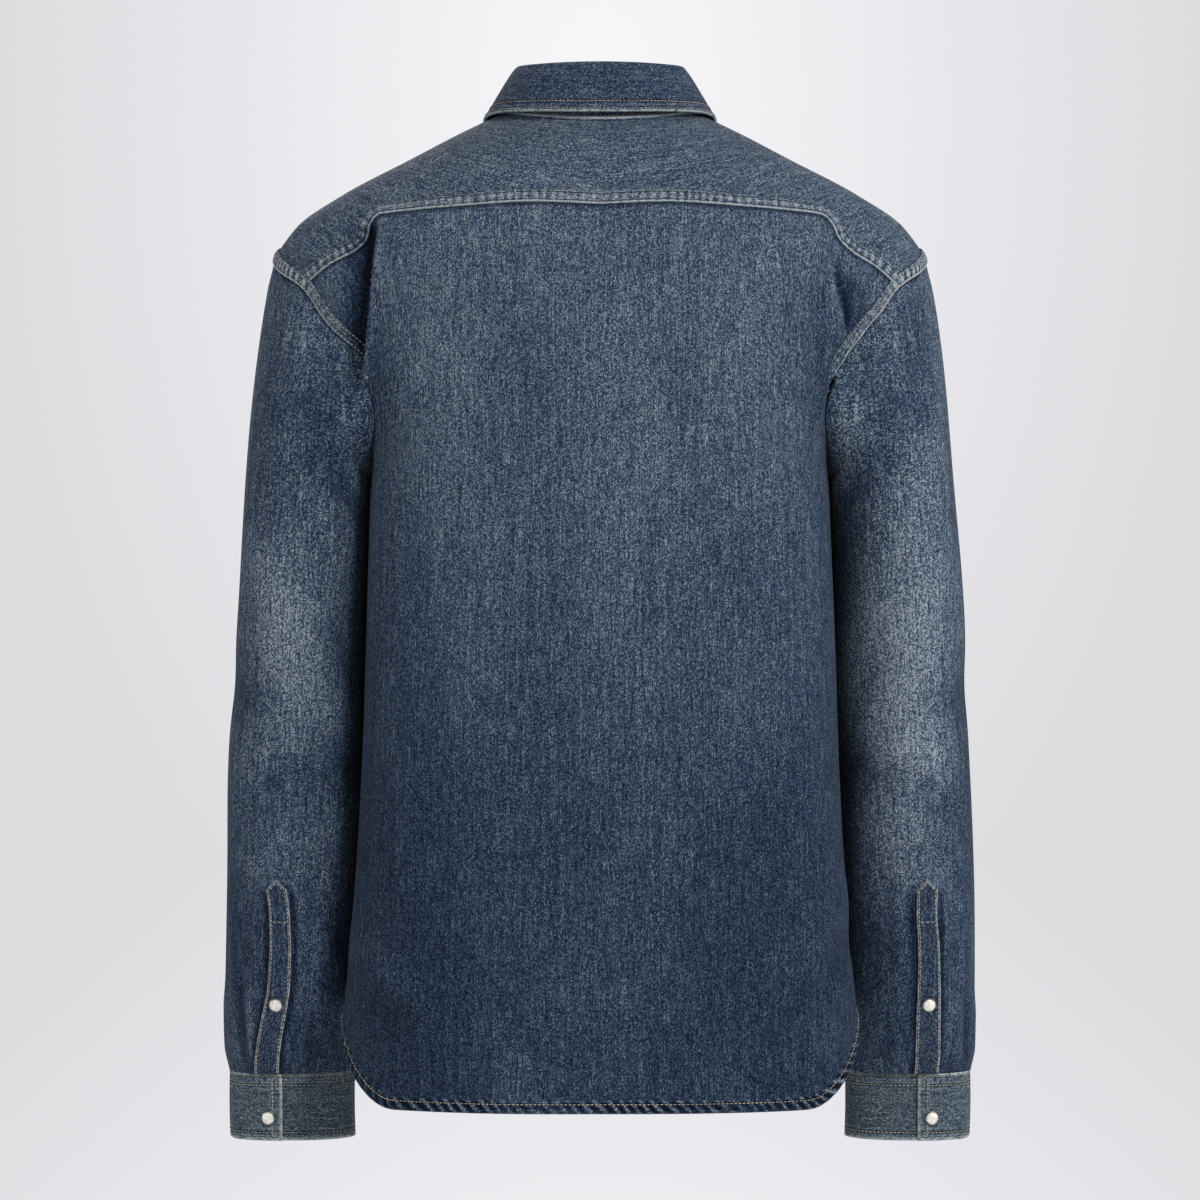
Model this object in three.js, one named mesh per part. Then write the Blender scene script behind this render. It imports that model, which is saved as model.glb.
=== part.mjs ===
// A long-sleeved denim shirt, buttoned up and filled out as it is when worn, with nobody in it.
//
// Millimetres, +Z up. The front of the shirt faces -Y and the wearer's left arm is at +X.
// The origin is the middle of the neck at the height where the yoke meets the side of the neck,
// which is where the shirt rests on its wearer.
//
// The body cloth is one smooth surface, torso(angle, down), and each sleeve another, sleeve(turn, along).
// Every panel is a stretch of one of them between its seams, made into a wall of one thickness.
import * as THREE from "three";

// Driving sizes
const CLOTH = 1.6; // wall of the body and sleeves: 1 mm denim and the turned edges at its seams
const STIFF_CLOTH = 2.2; // wall of the collar, cuffs and bands: two layers and an interlining
const SEAM_GAP = 0.3; // between the edges of two pieces that are sewn together
const LAY_GAP = 0.3; // between a piece and the panel that it lies on
const SLEEVE_CLEARANCE = 3; // between the body's side and the inside of a hanging sleeve
const PLACKET_WIDTH = 34;
const CENTRE_OVERLAP = 12; // how far the right front runs under the placket, past the centre
const CUFF_HEIGHT = 50;
const CUFF_OVERLAP = 26; // mm of cuff that lies over its own other end
const STAND = { back: { rise: 39.5, lean: 8 }, side: { rise: 31.5, lean: 13 }, front: { rise: 31, lean: 10 } };
const STAND_LIFT = 0.5; // between the stand and the neck edge of the body
const STAND_TAB = 0.17; // radians that each end of the stand runs past centre front
const SNAP_RADIUS = 5.4;
const SNAP_DOME = 2.2;
const SNAP_RIM = 0.9;
const FRONT_SNAPS = 6; // on the placket below the one on the collar stand
const SNAP_ON_SLEEVE = 556; // mm down the sleeve

const DEGREE = Math.PI / 180;
const SIDE = 0;
const CENTRE_BACK = 90 * DEGREE;
const CENTRE_FRONT = -90 * DEGREE;

const COLOURS = {
  denim: new THREE.Color(0.05, 0.076, 0.118),
  denim_light: new THREE.Color(0.07, 0.1, 0.14),
  pearl: new THREE.Color(0.6, 0.6, 0.52),
};
const materials = {
  denim: new THREE.MeshStandardMaterial({ color: COLOURS.denim, roughness: 0.9, metalness: 0 }),
  cross_denim: new THREE.MeshStandardMaterial({ color: COLOURS.denim_light, roughness: 0.9, metalness: 0 }),
  pearl: new THREE.MeshStandardMaterial({ color: COLOURS.pearl, roughness: 0.25, metalness: 0 }),
};

// Sections round the body. down: mm of cloth below the neck seam at centre back. half: half the width.
// back, front: depth from the middle. zSide, zBack, zFront: height there. square: 2 is an ellipse, more is boxier.
const TORSO = [
  { down: 0, half: 73, back: 72, front: 80, zSide: 0, zBack: -12, zFront: -80, square: 2.0 },
  { down: 27, half: 104, back: 93, front: 97, zSide: -15, zBack: -30, zFront: -103, square: 2.05 },
  { down: 51, half: 143.5, back: 107, front: 110, zSide: -36, zBack: -50, zFront: -122, square: 2.15 },
  { down: 78, half: 190.5, back: 117, front: 121, zSide: -61, zBack: -75, zFront: -144, square: 2.25 },
  { down: 109, half: 227, back: 125, front: 128, zSide: -87, zBack: -105, zFront: -166, square: 2.3 },
  { down: 139, half: 243, back: 129, front: 132, zSide: -117, zBack: -135, zFront: -188, square: 2.3 },
  { down: 166, half: 236, back: 131, front: 134, zSide: -146, zBack: -162, zFront: -208, square: 2.3 },
  { down: 191, half: 219, back: 132, front: 135, zSide: -175, zBack: -187, zFront: -222, square: 2.35 },
  { down: 216, half: 200, back: 132, front: 136, zSide: -207, zBack: -212, zFront: -234, square: 2.4 },
  { down: 241, half: 187, back: 132, front: 136, zSide: -236, zBack: -237, zFront: -248, square: 2.5 },
  { down: 266, half: 180, back: 132, front: 136, zSide: -262, zBack: -262, zFront: -266, square: 2.6 },
  { down: 324, half: 178, back: 131, front: 135, zSide: -320, zBack: -320, zFront: -320, square: 2.8 },
  { down: 454, half: 181, back: 129, front: 131, zSide: -450, zBack: -450, zFront: -450, square: 2.8 },
  { down: 604, half: 190, back: 131, front: 130, zSide: -600, zBack: -600, zFront: -600, square: 2.8 },
  { down: 666, half: 196, back: 132, front: 131, zSide: -662, zBack: -662, zFront: -662, square: 2.8 },
  { down: 746, half: 199, back: 133, front: 132, zSide: -742, zBack: -742, zFront: -742, square: 2.8 },
];

// Sections down a sleeve. along: mm down the outside of the arm. out, inside: X of its outer and inner edge.
// zOut, zIn: height there. back, front: depth from yMid.
const SLEEVE = [
  { along: 0, out: 242, inside: 166, zOut: -110, zIn: -262, back: 78, front: 78, yMid: 0 },
  { along: 24, out: 247, inside: 167, zOut: -132, zIn: -268, back: 79, front: 80, yMid: 0 },
  { along: 60, out: 252.5, inside: 168.5, zOut: -166, zIn: -278, back: 79, front: 81, yMid: -1 },
  { along: 105, out: 258, inside: 170, zOut: -210, zIn: -293, back: 77, front: 80, yMid: -2 },
  { along: 160, out: 263, inside: 171, zOut: -264, zIn: -316, back: 74, front: 77, yMid: -3 },
  { along: 220, out: 267.5, inside: 172, zOut: -324, zIn: -348, back: 70, front: 73, yMid: -4 },
  { along: 300, out: 272, inside: 174, zOut: -404, zIn: -414, back: 66, front: 68, yMid: -5 },
  { along: 400, out: 277.5, inside: 176.5, zOut: -504, zIn: -508, back: 62, front: 62, yMid: -9 },
  { along: 500, out: 280, inside: 180, zOut: -604, zIn: -604, back: 57, front: 57, yMid: -16 },
  { along: 560, out: 280.5, inside: 182, zOut: -664, zIn: -664, back: 52, front: 52, yMid: -21 },
  { along: 592, out: 280, inside: 183, zOut: -696, zIn: -696, back: 45, front: 45, yMid: -24 },
  { along: 611, out: 278, inside: 184, zOut: -714, zIn: -714, back: 37, front: 37, yMid: -26 },
];
const SLEEVE_END = SLEEVE.at(-1).along;
const ARMHOLE_FADE = { outside: 130, inside: 45 }; // mm down the sleeve where the armhole's own shape dies out
const ARMHOLE_STEP = { outside: 0.4, inside: 0.9 }; // how far the sleeve's end stands out from the body's cloth

// Armhole: turn is 0 on the shoulder and 180 under the arm. angle, down: that point of the body, in degrees and mm.
const ARMHOLE = [
  { turn: 0, angle: 0, down: 131 },
  { turn: 8, angle: 3.1, down: 132.5 },
  { turn: 24, angle: 9.4, down: 140.5 },
  { turn: 47, angle: 17, down: 152.5 },
  { turn: 62, angle: 20.4, down: 170 },
  { turn: 75, angle: 23, down: 184 },
  { turn: 88, angle: 25.3, down: 197 },
  { turn: 103, angle: 26.2, down: 212 },
  { turn: 120, angle: 25.2, down: 230 },
  { turn: 138, angle: 21.5, down: 248 },
  { turn: 158, angle: 13, down: 262 },
  { turn: 172, angle: 4.8, down: 266.6 },
  { turn: 180, angle: 0, down: 267 },
];
const UNDERARM_DOWN = ARMHOLE.at(-1).down;

// Lower edge of the yoke across the back, as seen from behind. at: share of the way from the armhole to the middle.
const YOKE_EDGE = [
  { at: 0, x: 217, z: -134 },
  { at: 0.12, x: 200, z: -121 },
  { at: 0.24, x: 181, z: -110 },
  { at: 0.33, x: 172, z: -101 },
  { at: 0.4, x: 167, z: -90 },
  { at: 0.47, x: 159, z: -83.5 },
  { at: 0.55, x: 145, z: -82 },
  { at: 0.7, x: 100, z: -79 },
  { at: 0.85, x: 50, z: -76.5 },
  { at: 1, x: 0, z: -78.5 },
];
const YOKE_MEETS_ARMHOLE = 47 * DEGREE; // turn round the armhole, from its top towards the back
const FRONT_SEAM = { neckAngle: -27 * DEGREE, armholeTurn: -27 * DEGREE }; // front edge of the yoke

// Shirt tail: the side seams end high, and the back and front hems hang lower.
const HEM = { zLow: -727, zSide: -662, riseFrom: 36 * DEGREE, riseTo: 5 * DEGREE };

// Fold down each side of the back, where spare cloth folds over the armhole: an edge at x, standing proud.
const FOLDS = [
  { side: 1, xTop: 160, xLow: 173, zTop: -80, zLow: -200, proud: 7, width: 10 },
  { side: -1, xTop: 164, xLow: 182, zTop: -112, zLow: -170, proud: 4, width: 14 },
];

// Long soft dents in the sleeves. turn: where round the arm. from, to: along it. depth and width in mm.
const SLEEVE_DENTS = [
  { turn: 40, at: 330, slant: 0.25, depth: 3, width: 34, spread: 36 },
  { turn: 130, at: 385, slant: -0.2, depth: 3.5, width: 30, spread: 34 },
  { turn: 300, at: 350, slant: 0.3, depth: 4, width: 30, spread: 40 },
  { turn: 240, at: 420, slant: -0.3, depth: 3, width: 26, spread: 36 },
];

const lerp = (a, b, t) => a + (b - a) * t;
const clamp = (t, low = 0, high = 1) => Math.min(high, Math.max(low, t));
const smooth = (t) => clamp(t) ** 2 * (3 - 2 * clamp(t));
const bell = (d) => Math.exp(-0.5 * d * d);

// Smooth curve through a table's column that never overshoots its rows.
function column(table, by, key) {
  const x = table.map((row) => row[by]);
  const y = table.map((row) => row[key]);
  const slope = x.slice(1).map((_, i) => (y[i + 1] - y[i]) / (x[i + 1] - x[i]));
  const tangent = y.map((_, i) => {
    if (i === 0) return slope[0];
    if (i === y.length - 1) return slope[i - 1];
    if (slope[i - 1] * slope[i] <= 0) return 0;
    return (2 * slope[i - 1] * slope[i]) / (slope[i - 1] + slope[i]);
  });
  return (at) => {
    let i = 0;
    while (i < x.length - 2 && at > x[i + 1]) i++;
    const h = x[i + 1] - x[i];
    const t = clamp((at - x[i]) / h);
    const t2 = t * t;
    const t3 = t2 * t;
    return (
      y[i] * (2 * t3 - 3 * t2 + 1) +
      tangent[i] * h * (t3 - 2 * t2 + t) +
      y[i + 1] * (3 * t2 - 2 * t3) +
      tangent[i + 1] * h * (t3 - t2)
    );
  };
}

const columns = (table, by) =>
  Object.fromEntries(Object.keys(table[0]).map((key) => [key, column(table, by, key)]));
const body = columns(TORSO, "down");
const arm = columns(SLEEVE, "along");
const armByHeight = columns([...SLEEVE].map((row) => ({ ...row, drop: -row.zIn })), "drop");
const yokeEdge = columns(YOKE_EDGE, "at");
const armholeRow = columns(ARMHOLE, "turn");

// How far the hanging sleeve presses the body's side in at a height.
function sideDent(half, z) {
  const room = half - (armByHeight.inside(-z) - SLEEVE_CLEARANCE);
  return Math.max(0, room) * smooth((-z - 180) / 80);
}

function backFold(x, z) {
  return FOLDS.reduce((sum, fold) => {
    const outward = x * fold.side;
    const share = clamp((fold.zTop - z) / (fold.zTop - fold.zLow));
    const edge = lerp(fold.xTop, fold.xLow, share);
    const lengthwise = smooth((fold.zTop - z) / 30) * (1 - smooth((fold.zLow - z) / 90));
    return sum - fold.proud * lengthwise * smooth((outward - edge) / fold.width + 0.5);
  }, 0);
}

// A point of the body's outer face. angle: 0 at the wearer's left side, 90 degrees at centre back.
function torso(angle, down) {
  const c = Math.cos(angle);
  const s = Math.sin(angle);
  const depth = s >= 0 ? body.back(down) : body.front(down);
  const zMiddle = s >= 0 ? body.zBack(down) : body.zFront(down);
  const half = body.half(down);
  const n = body.square(down);
  const reach = (Math.abs(c / half) ** n + Math.abs(s / depth) ** n) ** (-1 / n);
  const z = body.zSide(down) + (zMiddle - body.zSide(down)) * Math.abs(s) ** 1.5;
  let x = reach * c;
  let y = reach * s;
  if (z < -180) {
    const dent = sideDent(half, z) * bell((y - armByHeight.yMid(-z)) / 42);
    x -= Math.sign(c) * Math.min(dent, Math.abs(x) * 0.5) * smooth(Math.abs(c) * 2);
  }
  if (s > 0) y += backFold(x, z) * smooth(s * 3);
  return new THREE.Vector3(x, y, z);
}

const STEP = 1e-3;
function normalOf(surface, a, b, stepA = STEP, stepB = STEP * 100) {
  const across = surface(a + stepA, b).sub(surface(a - stepA, b));
  const along = surface(a, b + stepB).sub(surface(a, b - stepB));
  return across.cross(along).normalize();
}
const torsoNormal = (angle, down) => normalOf(torso, angle, Math.max(down, STEP * 101)).negate();

// Angle and down of the point of the back that is seen at x, z from behind, or from the front.
function onTorso(x, z, facing = 1) {
  let angle = Math.atan2(facing * 110, x);
  let down = clamp(-z, 5, 740);
  for (let i = 0; i < 30; i++) {
    const p = torso(angle, down);
    const da = torso(angle + STEP, down).sub(p).divideScalar(STEP);
    const dd = torso(angle, down + STEP * 100).sub(p).divideScalar(STEP * 100);
    const det = da.x * dd.z - dd.x * da.z;
    const ex = x - p.x;
    const ez = z - p.z;
    angle += clamp((ex * dd.z - dd.x * ez) / det, -0.2, 0.2);
    down = clamp(down + clamp((da.x * ez - ex * da.z) / det, -40, 40), 0, 746);
  }
  return [angle, down];
}

// Point of the armhole, as angle and down. turn: 0 on the shoulder, a quarter circle at the back.
function armhole(turn) {
  const degrees = Math.abs(Math.atan2(Math.sin(turn), Math.cos(turn))) / DEGREE;
  return [armholeRow.angle(degrees) * DEGREE * Math.sign(Math.sin(turn)), armholeRow.down(degrees)];
}

const mirrorAngle = (angle) => Math.PI - angle;

function hemDown(angle) {
  const fromSide = Math.abs(Math.asin(Math.sin(angle)) * (Math.cos(angle) >= 0 ? 1 : -1));
  const rise = 1 - smooth((fromSide - HEM.riseTo) / (HEM.riseFrom - HEM.riseTo));
  return -lerp(HEM.zLow, HEM.zSide, rise) + 4;
}

// The curve round the yoke's outer edge, from its left front seam over both shoulders. share: 0 to 1.
const YOKE_TURN_SHARE = 0.26; // of that edge, on each arm
function yokeOuter(share) {
  if (share > 0.5) {
    const [angle, down] = yokeOuter(1 - share);
    return [mirrorAngle(angle), down];
  }
  if (share <= YOKE_TURN_SHARE) {
    return armhole(lerp(FRONT_SEAM.armholeTurn, YOKE_MEETS_ARMHOLE, share / YOKE_TURN_SHARE));
  }
  const at = (share - YOKE_TURN_SHARE) / (0.5 - YOKE_TURN_SHARE);
  return onTorso(yokeEdge.x(at), yokeEdge.z(at));
}

// Where the yoke's threads that end at a share of its outer edge start, on the neck.
function yokeInner(share) {
  const nearer = Math.min(share, 1 - share);
  const turned = FRONT_SEAM.neckAngle - yokeOuter(0)[0];
  const neck = yokeOuter(nearer)[0] + turned * clamp(1 - nearer / YOKE_TURN_SHARE);
  return [share > 0.5 ? mirrorAngle(neck) : neck, 0];
}

// Side of a body panel, from its top corner down the armhole and the side seam to the hem.
function panelSide(turnFrom, top, share, shareUnderarm) {
  const underTurn = Math.sign(turnFrom) * Math.PI;
  if (top && share < top.share) {
    return top.curve(share / top.share);
  }
  const start = top ? top.share : 0;
  if (share < shareUnderarm) {
    return armhole(lerp(turnFrom, underTurn, (share - start) / (shareUnderarm - start)));
  }
  const t = (share - shareUnderarm) / (1 - shareUnderarm);
  return [SIDE, lerp(UNDERARM_DOWN, hemDown(SIDE), t)];
}

// A patch of the body between four edges that share their corners.
function patch(top, bottom, left, right) {
  return (a, b) => {
    const parts = [0, 1].map(
      (k) =>
        lerp(top(a)[k], bottom(a)[k], b) +
        lerp(left(b)[k], right(b)[k], a) -
        lerp(lerp(top(0)[k], top(1)[k], a), lerp(bottom(0)[k], bottom(1)[k], a), b),
    );
    return parts;
  };
}

// Rows and columns that pieces share along their seams
const YOKE_ROWS = 7;
const ARMHOLE_STEPS = { yoke: 8, back: 8, front: 10 };
const BACK_ROWS = { under: ARMHOLE_STEPS.back, all: 25 };
const backPatch = (() => {
  const top = (a) => yokeOuter(lerp(YOKE_TURN_SHARE, 1 - YOKE_TURN_SHARE, a));
  const left = (b) => panelSide(YOKE_MEETS_ARMHOLE, null, b, BACK_ROWS.under / BACK_ROWS.all);
  const right = (b) => [mirrorAngle(left(b)[0]), left(b)[1]];
  const bottom = (a) => {
    const angle = lerp(SIDE, Math.PI, a);
    return [angle, hemDown(angle)];
  };
  return patch(top, bottom, left, right);
})();

const FRONT_ROWS = { yoke: YOKE_ROWS, under: YOKE_ROWS + ARMHOLE_STEPS.front, all: 32 };
const frontEdgeAngle = (down, x) => CENTRE_FRONT + Math.atan2(x, body.front(down));
function frontPatch(side) {
  const edge = side > 0 ? CENTRE_OVERLAP + SEAM_GAP : -CENTRE_OVERLAP;
  const yokeSeam = (t) => {
    const [angle, down] = armhole(FRONT_SEAM.armholeTurn);
    return [lerp(FRONT_SEAM.neckAngle, angle, t), down * t];
  };
  const seam = { share: FRONT_ROWS.yoke / FRONT_ROWS.all, curve: yokeSeam };
  const under = FRONT_ROWS.under / FRONT_ROWS.all;
  const outer = (b) => panelSide(FRONT_SEAM.armholeTurn, seam, b, under);
  const centre = (b) => {
    const down = hemDown(CENTRE_FRONT) * b;
    return [frontEdgeAngle(down, edge), down];
  };
  const top = (a) => [lerp(centre(0)[0], FRONT_SEAM.neckAngle, a), 0];
  const bottom = (a) => {
    const angle = lerp(centre(1)[0], SIDE, a);
    return [angle, hemDown(angle)];
  };
  return patch(top, bottom, centre, outer);
}

// Sleeve of the wearer's left arm. turn: 0 outside, 90 degrees at the back, 180 next to the body.
function sleeveSection(turn, along) {
  const c = Math.cos(turn);
  const s = Math.sin(turn);
  const middleX = (arm.out(along) + arm.inside(along)) / 2;
  const halfX = (arm.out(along) - arm.inside(along)) / 2;
  const middleZ = (arm.zOut(along) + arm.zIn(along)) / 2;
  const halfZ = (arm.zOut(along) - arm.zIn(along)) / 2;
  const n = 2.25;
  const reach = (Math.abs(c) ** n + Math.abs(s) ** n) ** (-1 / n);
  const depth = s >= 0 ? arm.back(along) : arm.front(along);
  return new THREE.Vector3(
    middleX + halfX * c * reach,
    arm.yMid(along) + depth * s * reach,
    middleZ + halfZ * c * reach,
  );
}

function sleeveDent(turn, along) {
  return SLEEVE_DENTS.reduce((sum, dent) => {
    const round = ((((turn / DEGREE - dent.turn) % 360) + 540) % 360) - 180;
    const acrossMm = round * 0.95;
    const onLine = along - dent.at - dent.slant * acrossMm;
    return sum + dent.depth * bell(acrossMm / dent.width) * bell(onLine / (dent.spread / 2));
  }, 0);
}

function sleeve(turn, along) {
  const point = sleeveSection(turn, along);
  const inside = ((1 - Math.cos(turn)) / 2) ** 2;
  const fade = 1 - smooth(along / lerp(ARMHOLE_FADE.outside, ARMHOLE_FADE.inside, inside));
  if (fade > 0) {
    const step = lerp(ARMHOLE_STEP.outside, ARMHOLE_STEP.inside, inside);
    const seam = torso(...armhole(turn)).addScaledVector(torsoNormal(...armhole(turn)), step);
    point.addScaledVector(seam.sub(sleeveSection(turn, 0)), fade);
  }
  const middle = new THREE.Vector3((arm.out(along) + arm.inside(along)) / 2, arm.yMid(along), point.z);
  const inward = middle.sub(point).normalize();
  return point.addScaledVector(inward, sleeveDent(turn, along));
}

const sleeveNormal = (turn, along) =>
  normalOf(sleeve, turn, clamp(along, STEP * 101, SLEEVE_END - STEP * 101), STEP * 5).negate();

// Collar stand, that rises from the neck seam. up: 0 at the seam, 1 at the fold of the collar.
function stand(angle, up) {
  const base = torso(angle, 0);
  const across = Math.cos(angle) ** 2;
  const end = Math.sin(angle) >= 0 ? STAND.back : STAND.front;
  const rise = lerp(end.rise, STAND.side.rise, across);
  const lean = lerp(end.lean, STAND.side.lean, across);
  const inward = new THREE.Vector3(-Math.cos(angle), -Math.sin(angle), 0);
  return base.addScaledVector(inward, lean * up).add(new THREE.Vector3(0, 0, STAND_LIFT + rise * up));
}
const standNormal = (angle, up) => normalOf(stand, angle, up, STEP, STEP);

// The left end of the stand lies over the right one, and the collar passes over both.
const standStep = (fromCentre) => (STIFF_CLOTH + LAY_GAP) * (1 - smooth((fromCentre - 0.2) / 0.1));

// Free edge of the collar: it lies on the shoulders and chest, and stands off the back of the neck.
const COLLAR_EDGE = [
  { angle: -64, down: 58, lift: 3 },
  { angle: -45, down: 40, lift: 2.8 },
  { angle: -20, down: 19, lift: 3.2 },
  { angle: 5, down: 10, lift: 3.8 },
  { angle: 40, down: 10, lift: 6 },
  { angle: 90, down: 13, lift: 9 },
];
const collarDown = column(COLLAR_EDGE, "angle", "down");
const collarLift = column(COLLAR_EDGE, "angle", "lift");
const COLLAR_FOLD_END = -81; // degrees round the neck where the fold of the collar ends, near centre front
const COLLAR_ROLL = 8; // how strongly the fold rises over the stand

function collar(share, over) {
  const folded = share > 0.5 ? 1 - share : share;
  const foldAngle = lerp(COLLAR_FOLD_END, 90, folded * 2) * DEGREE;
  const edgeDegrees = lerp(COLLAR_EDGE[0].angle, 90, folded * 2);
  const seam = stand(foldAngle, 1).addScaledVector(standNormal(foldAngle, 1), standStep(foldAngle - CENTRE_FRONT));
  seam.z += STAND_LIFT;
  const [angle, down] = [edgeDegrees * DEGREE, collarDown(edgeDegrees)];
  const free = torso(angle, down).addScaledVector(torsoNormal(angle, down), collarLift(edgeDegrees));
  const out = new THREE.Vector3(Math.cos(foldAngle), Math.sin(foldAngle), 0);
  const top = seam.clone().addScaledVector(out, 0.5).add(new THREE.Vector3(0, 0, COLLAR_ROLL));
  const shoulder = seam.clone().lerp(free, 0.3).addScaledVector(out, 1.5).add(new THREE.Vector3(0, 0, 5));
  const point = new THREE.CubicBezierCurve3(seam, top, shoulder, free).getPoint(over);
  if (share > 0.5) point.x = -point.x;
  return point;
}
const collarNormal = (share, over) =>
  normalOf(collar, clamp(share, STEP, 1 - STEP), clamp(over, STEP, 1 - STEP), STEP / 2, STEP / 2).negate();

// Grid of points with a normal each, turned into a closed wall. Rows run along b, columns along a.
// outside: the points' own side of the wall is its outer face. ring: the last column meets the first.
function wall({ point, normal, columnsAt, rowsAt, thickness, ring = false, gaps = {} }) {
  const outer = rowsAt.map((b) => columnsAt.map((a) => point(a, b)));
  const normals = rowsAt.map((b) => columnsAt.map((a) => normal(a, b)));
  const pull = (from, towards, mm) => {
    const step = towards.clone().sub(from);
    from.addScaledVector(step.normalize(), mm);
  };
  const rows = rowsAt.length;
  const cols = columnsAt.length;
  const half = SEAM_GAP / 2;
  outer[0].forEach((p, i) => pull(p, outer[1][i], gaps.top ?? half));
  outer[rows - 1].forEach((p, i) => pull(p, outer[rows - 2][i], gaps.bottom ?? half));
  if (!ring) {
    outer.forEach((row) => {
      pull(row[0], row[1], gaps.start ?? half);
      pull(row[cols - 1], row[cols - 2], gaps.end ?? half);
    });
  }
  const positions = [];
  const put = (p) => positions.push(p.x, p.y, p.z);
  outer.forEach((row) => row.forEach(put));
  outer.forEach((row, j) => row.forEach((p, i) => put(p.clone().addScaledVector(normals[j][i], -thickness))));
  const at = (layer, j, i) => layer * rows * cols + j * cols + (i % cols);
  const faces = [];
  const quad = (a, b, c, d) => faces.push(a, b, c, a, c, d);
  const lastColumn = ring ? cols : cols - 1;
  for (let j = 0; j < rows - 1; j++) {
    for (let i = 0; i < lastColumn; i++) {
      quad(at(0, j, i), at(0, j + 1, i), at(0, j + 1, i + 1), at(0, j, i + 1));
      quad(at(1, j, i), at(1, j, i + 1), at(1, j + 1, i + 1), at(1, j + 1, i));
    }
    if (!ring) {
      quad(at(0, j, 0), at(1, j, 0), at(1, j + 1, 0), at(0, j + 1, 0));
      quad(at(0, j, cols - 1), at(0, j + 1, cols - 1), at(1, j + 1, cols - 1), at(1, j, cols - 1));
    }
  }
  for (let i = 0; i < lastColumn; i++) {
    quad(at(0, 0, i), at(0, 0, i + 1), at(1, 0, i + 1), at(1, 0, i));
    quad(at(0, rows - 1, i), at(1, rows - 1, i), at(1, rows - 1, i + 1), at(0, rows - 1, i + 1));
  }
  const geometry = new THREE.BufferGeometry();
  geometry.setAttribute("position", new THREE.Float32BufferAttribute(positions, 3));
  geometry.setIndex(faces);
  return facingOut(geometry);
}

// Turns every face round where the solid's volume comes out negative.
function facingOut(geometry) {
  const p = geometry.getAttribute("position");
  const index = geometry.getIndex().array;
  const [a, b, c] = [0, 1, 2].map(() => new THREE.Vector3());
  let volume = 0;
  for (let i = 0; i < index.length; i += 3) {
    a.fromBufferAttribute(p, index[i]);
    b.fromBufferAttribute(p, index[i + 1]);
    c.fromBufferAttribute(p, index[i + 2]);
    volume += a.dot(b.cross(c));
  }
  if (volume < 0) {
    for (let i = 0; i < index.length; i += 3) [index[i + 1], index[i + 2]] = [index[i + 2], index[i + 1]];
  }
  return geometry;
}

const steps = (count, from = 0, to = 1) =>
  Array.from({ length: count + 1 }, (_, i) => lerp(from, to, i / count));

const shirt = new THREE.Group();
function add(name, geometry, material) {
  const mesh = new THREE.Mesh(geometry, material);
  mesh.name = name;
  shirt.add(mesh);
}

function mirrored(geometry) {
  const copy = geometry.clone().applyMatrix4(new THREE.Matrix4().makeScale(-1, 1, 1));
  return facingOut(copy);
}

// The four body panels
const onBody = (map) => ({
  point: (a, b) => torso(...map(a, b)),
  normal: (a, b) => torsoNormal(...map(a, b)),
  thickness: CLOTH,
});

function addBodyPanels() {
  const yokeMap = (share, out) => {
    const [inner, outer] = [yokeInner(share), yokeOuter(share)];
    return [lerp(inner[0], outer[0], out), lerp(0, outer[1], out)];
  };
  const armSteps = steps(ARMHOLE_STEPS.yoke, 0, YOKE_TURN_SHARE);
  const backShares = steps(26).map((t) => t - (0.3 * Math.sin(2 * Math.PI * t)) / (2 * Math.PI));
  const backSteps = backShares.slice(1, -1).map((a) => lerp(YOKE_TURN_SHARE, 1 - YOKE_TURN_SHARE, a));
  const yokeColumns = [...armSteps, ...backSteps, ...armSteps.map((s) => 1 - s).reverse()];
  add("yoke", wall({ ...onBody(yokeMap), columnsAt: yokeColumns, rowsAt: steps(YOKE_ROWS) }), materials.cross_denim);

  const backGrid = { columnsAt: backShares, rowsAt: steps(BACK_ROWS.all) };
  add("back", wall({ ...onBody(backPatch), ...backGrid }), materials.denim);

  const frontGrid = { columnsAt: steps(11), rowsAt: steps(FRONT_ROWS.all) };
  add("front_left", wall({ ...onBody(frontPatch(1)), ...frontGrid }), materials.denim);
  const right = frontPatch(-1);
  const mirroredMap = (a, b) => {
    const [angle, down] = right(a, b);
    return [mirrorAngle(angle), down];
  };
  add("front_right", wall({ ...onBody(mirroredMap), ...frontGrid }), materials.denim);
}

const SLEEVE_ROWS = [12, 26, 44, 66, 92, 122, 160, 205, 255, 310, 365, 420, 455, 490, 520, 545, 567, 585, 599];
const ARMHOLE_TURNS = [
  ...steps(ARMHOLE_STEPS.yoke, FRONT_SEAM.armholeTurn, YOKE_MEETS_ARMHOLE).slice(0, -1),
  ...steps(ARMHOLE_STEPS.back, YOKE_MEETS_ARMHOLE, Math.PI).slice(0, -1),
  ...steps(ARMHOLE_STEPS.front, Math.PI, 2 * Math.PI + FRONT_SEAM.armholeTurn).slice(0, -1),
];
function addSleeves() {
  const left = wall({
    point: sleeve,
    normal: sleeveNormal,
    columnsAt: ARMHOLE_TURNS,
    rowsAt: [1, ...SLEEVE_ROWS, SLEEVE_END],
    thickness: CLOTH,
    ring: true,
    gaps: { top: 0 },
  });
  add("sleeve_left", left, materials.denim);
  add("sleeve_right", mirrored(left), materials.denim);
}

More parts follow.
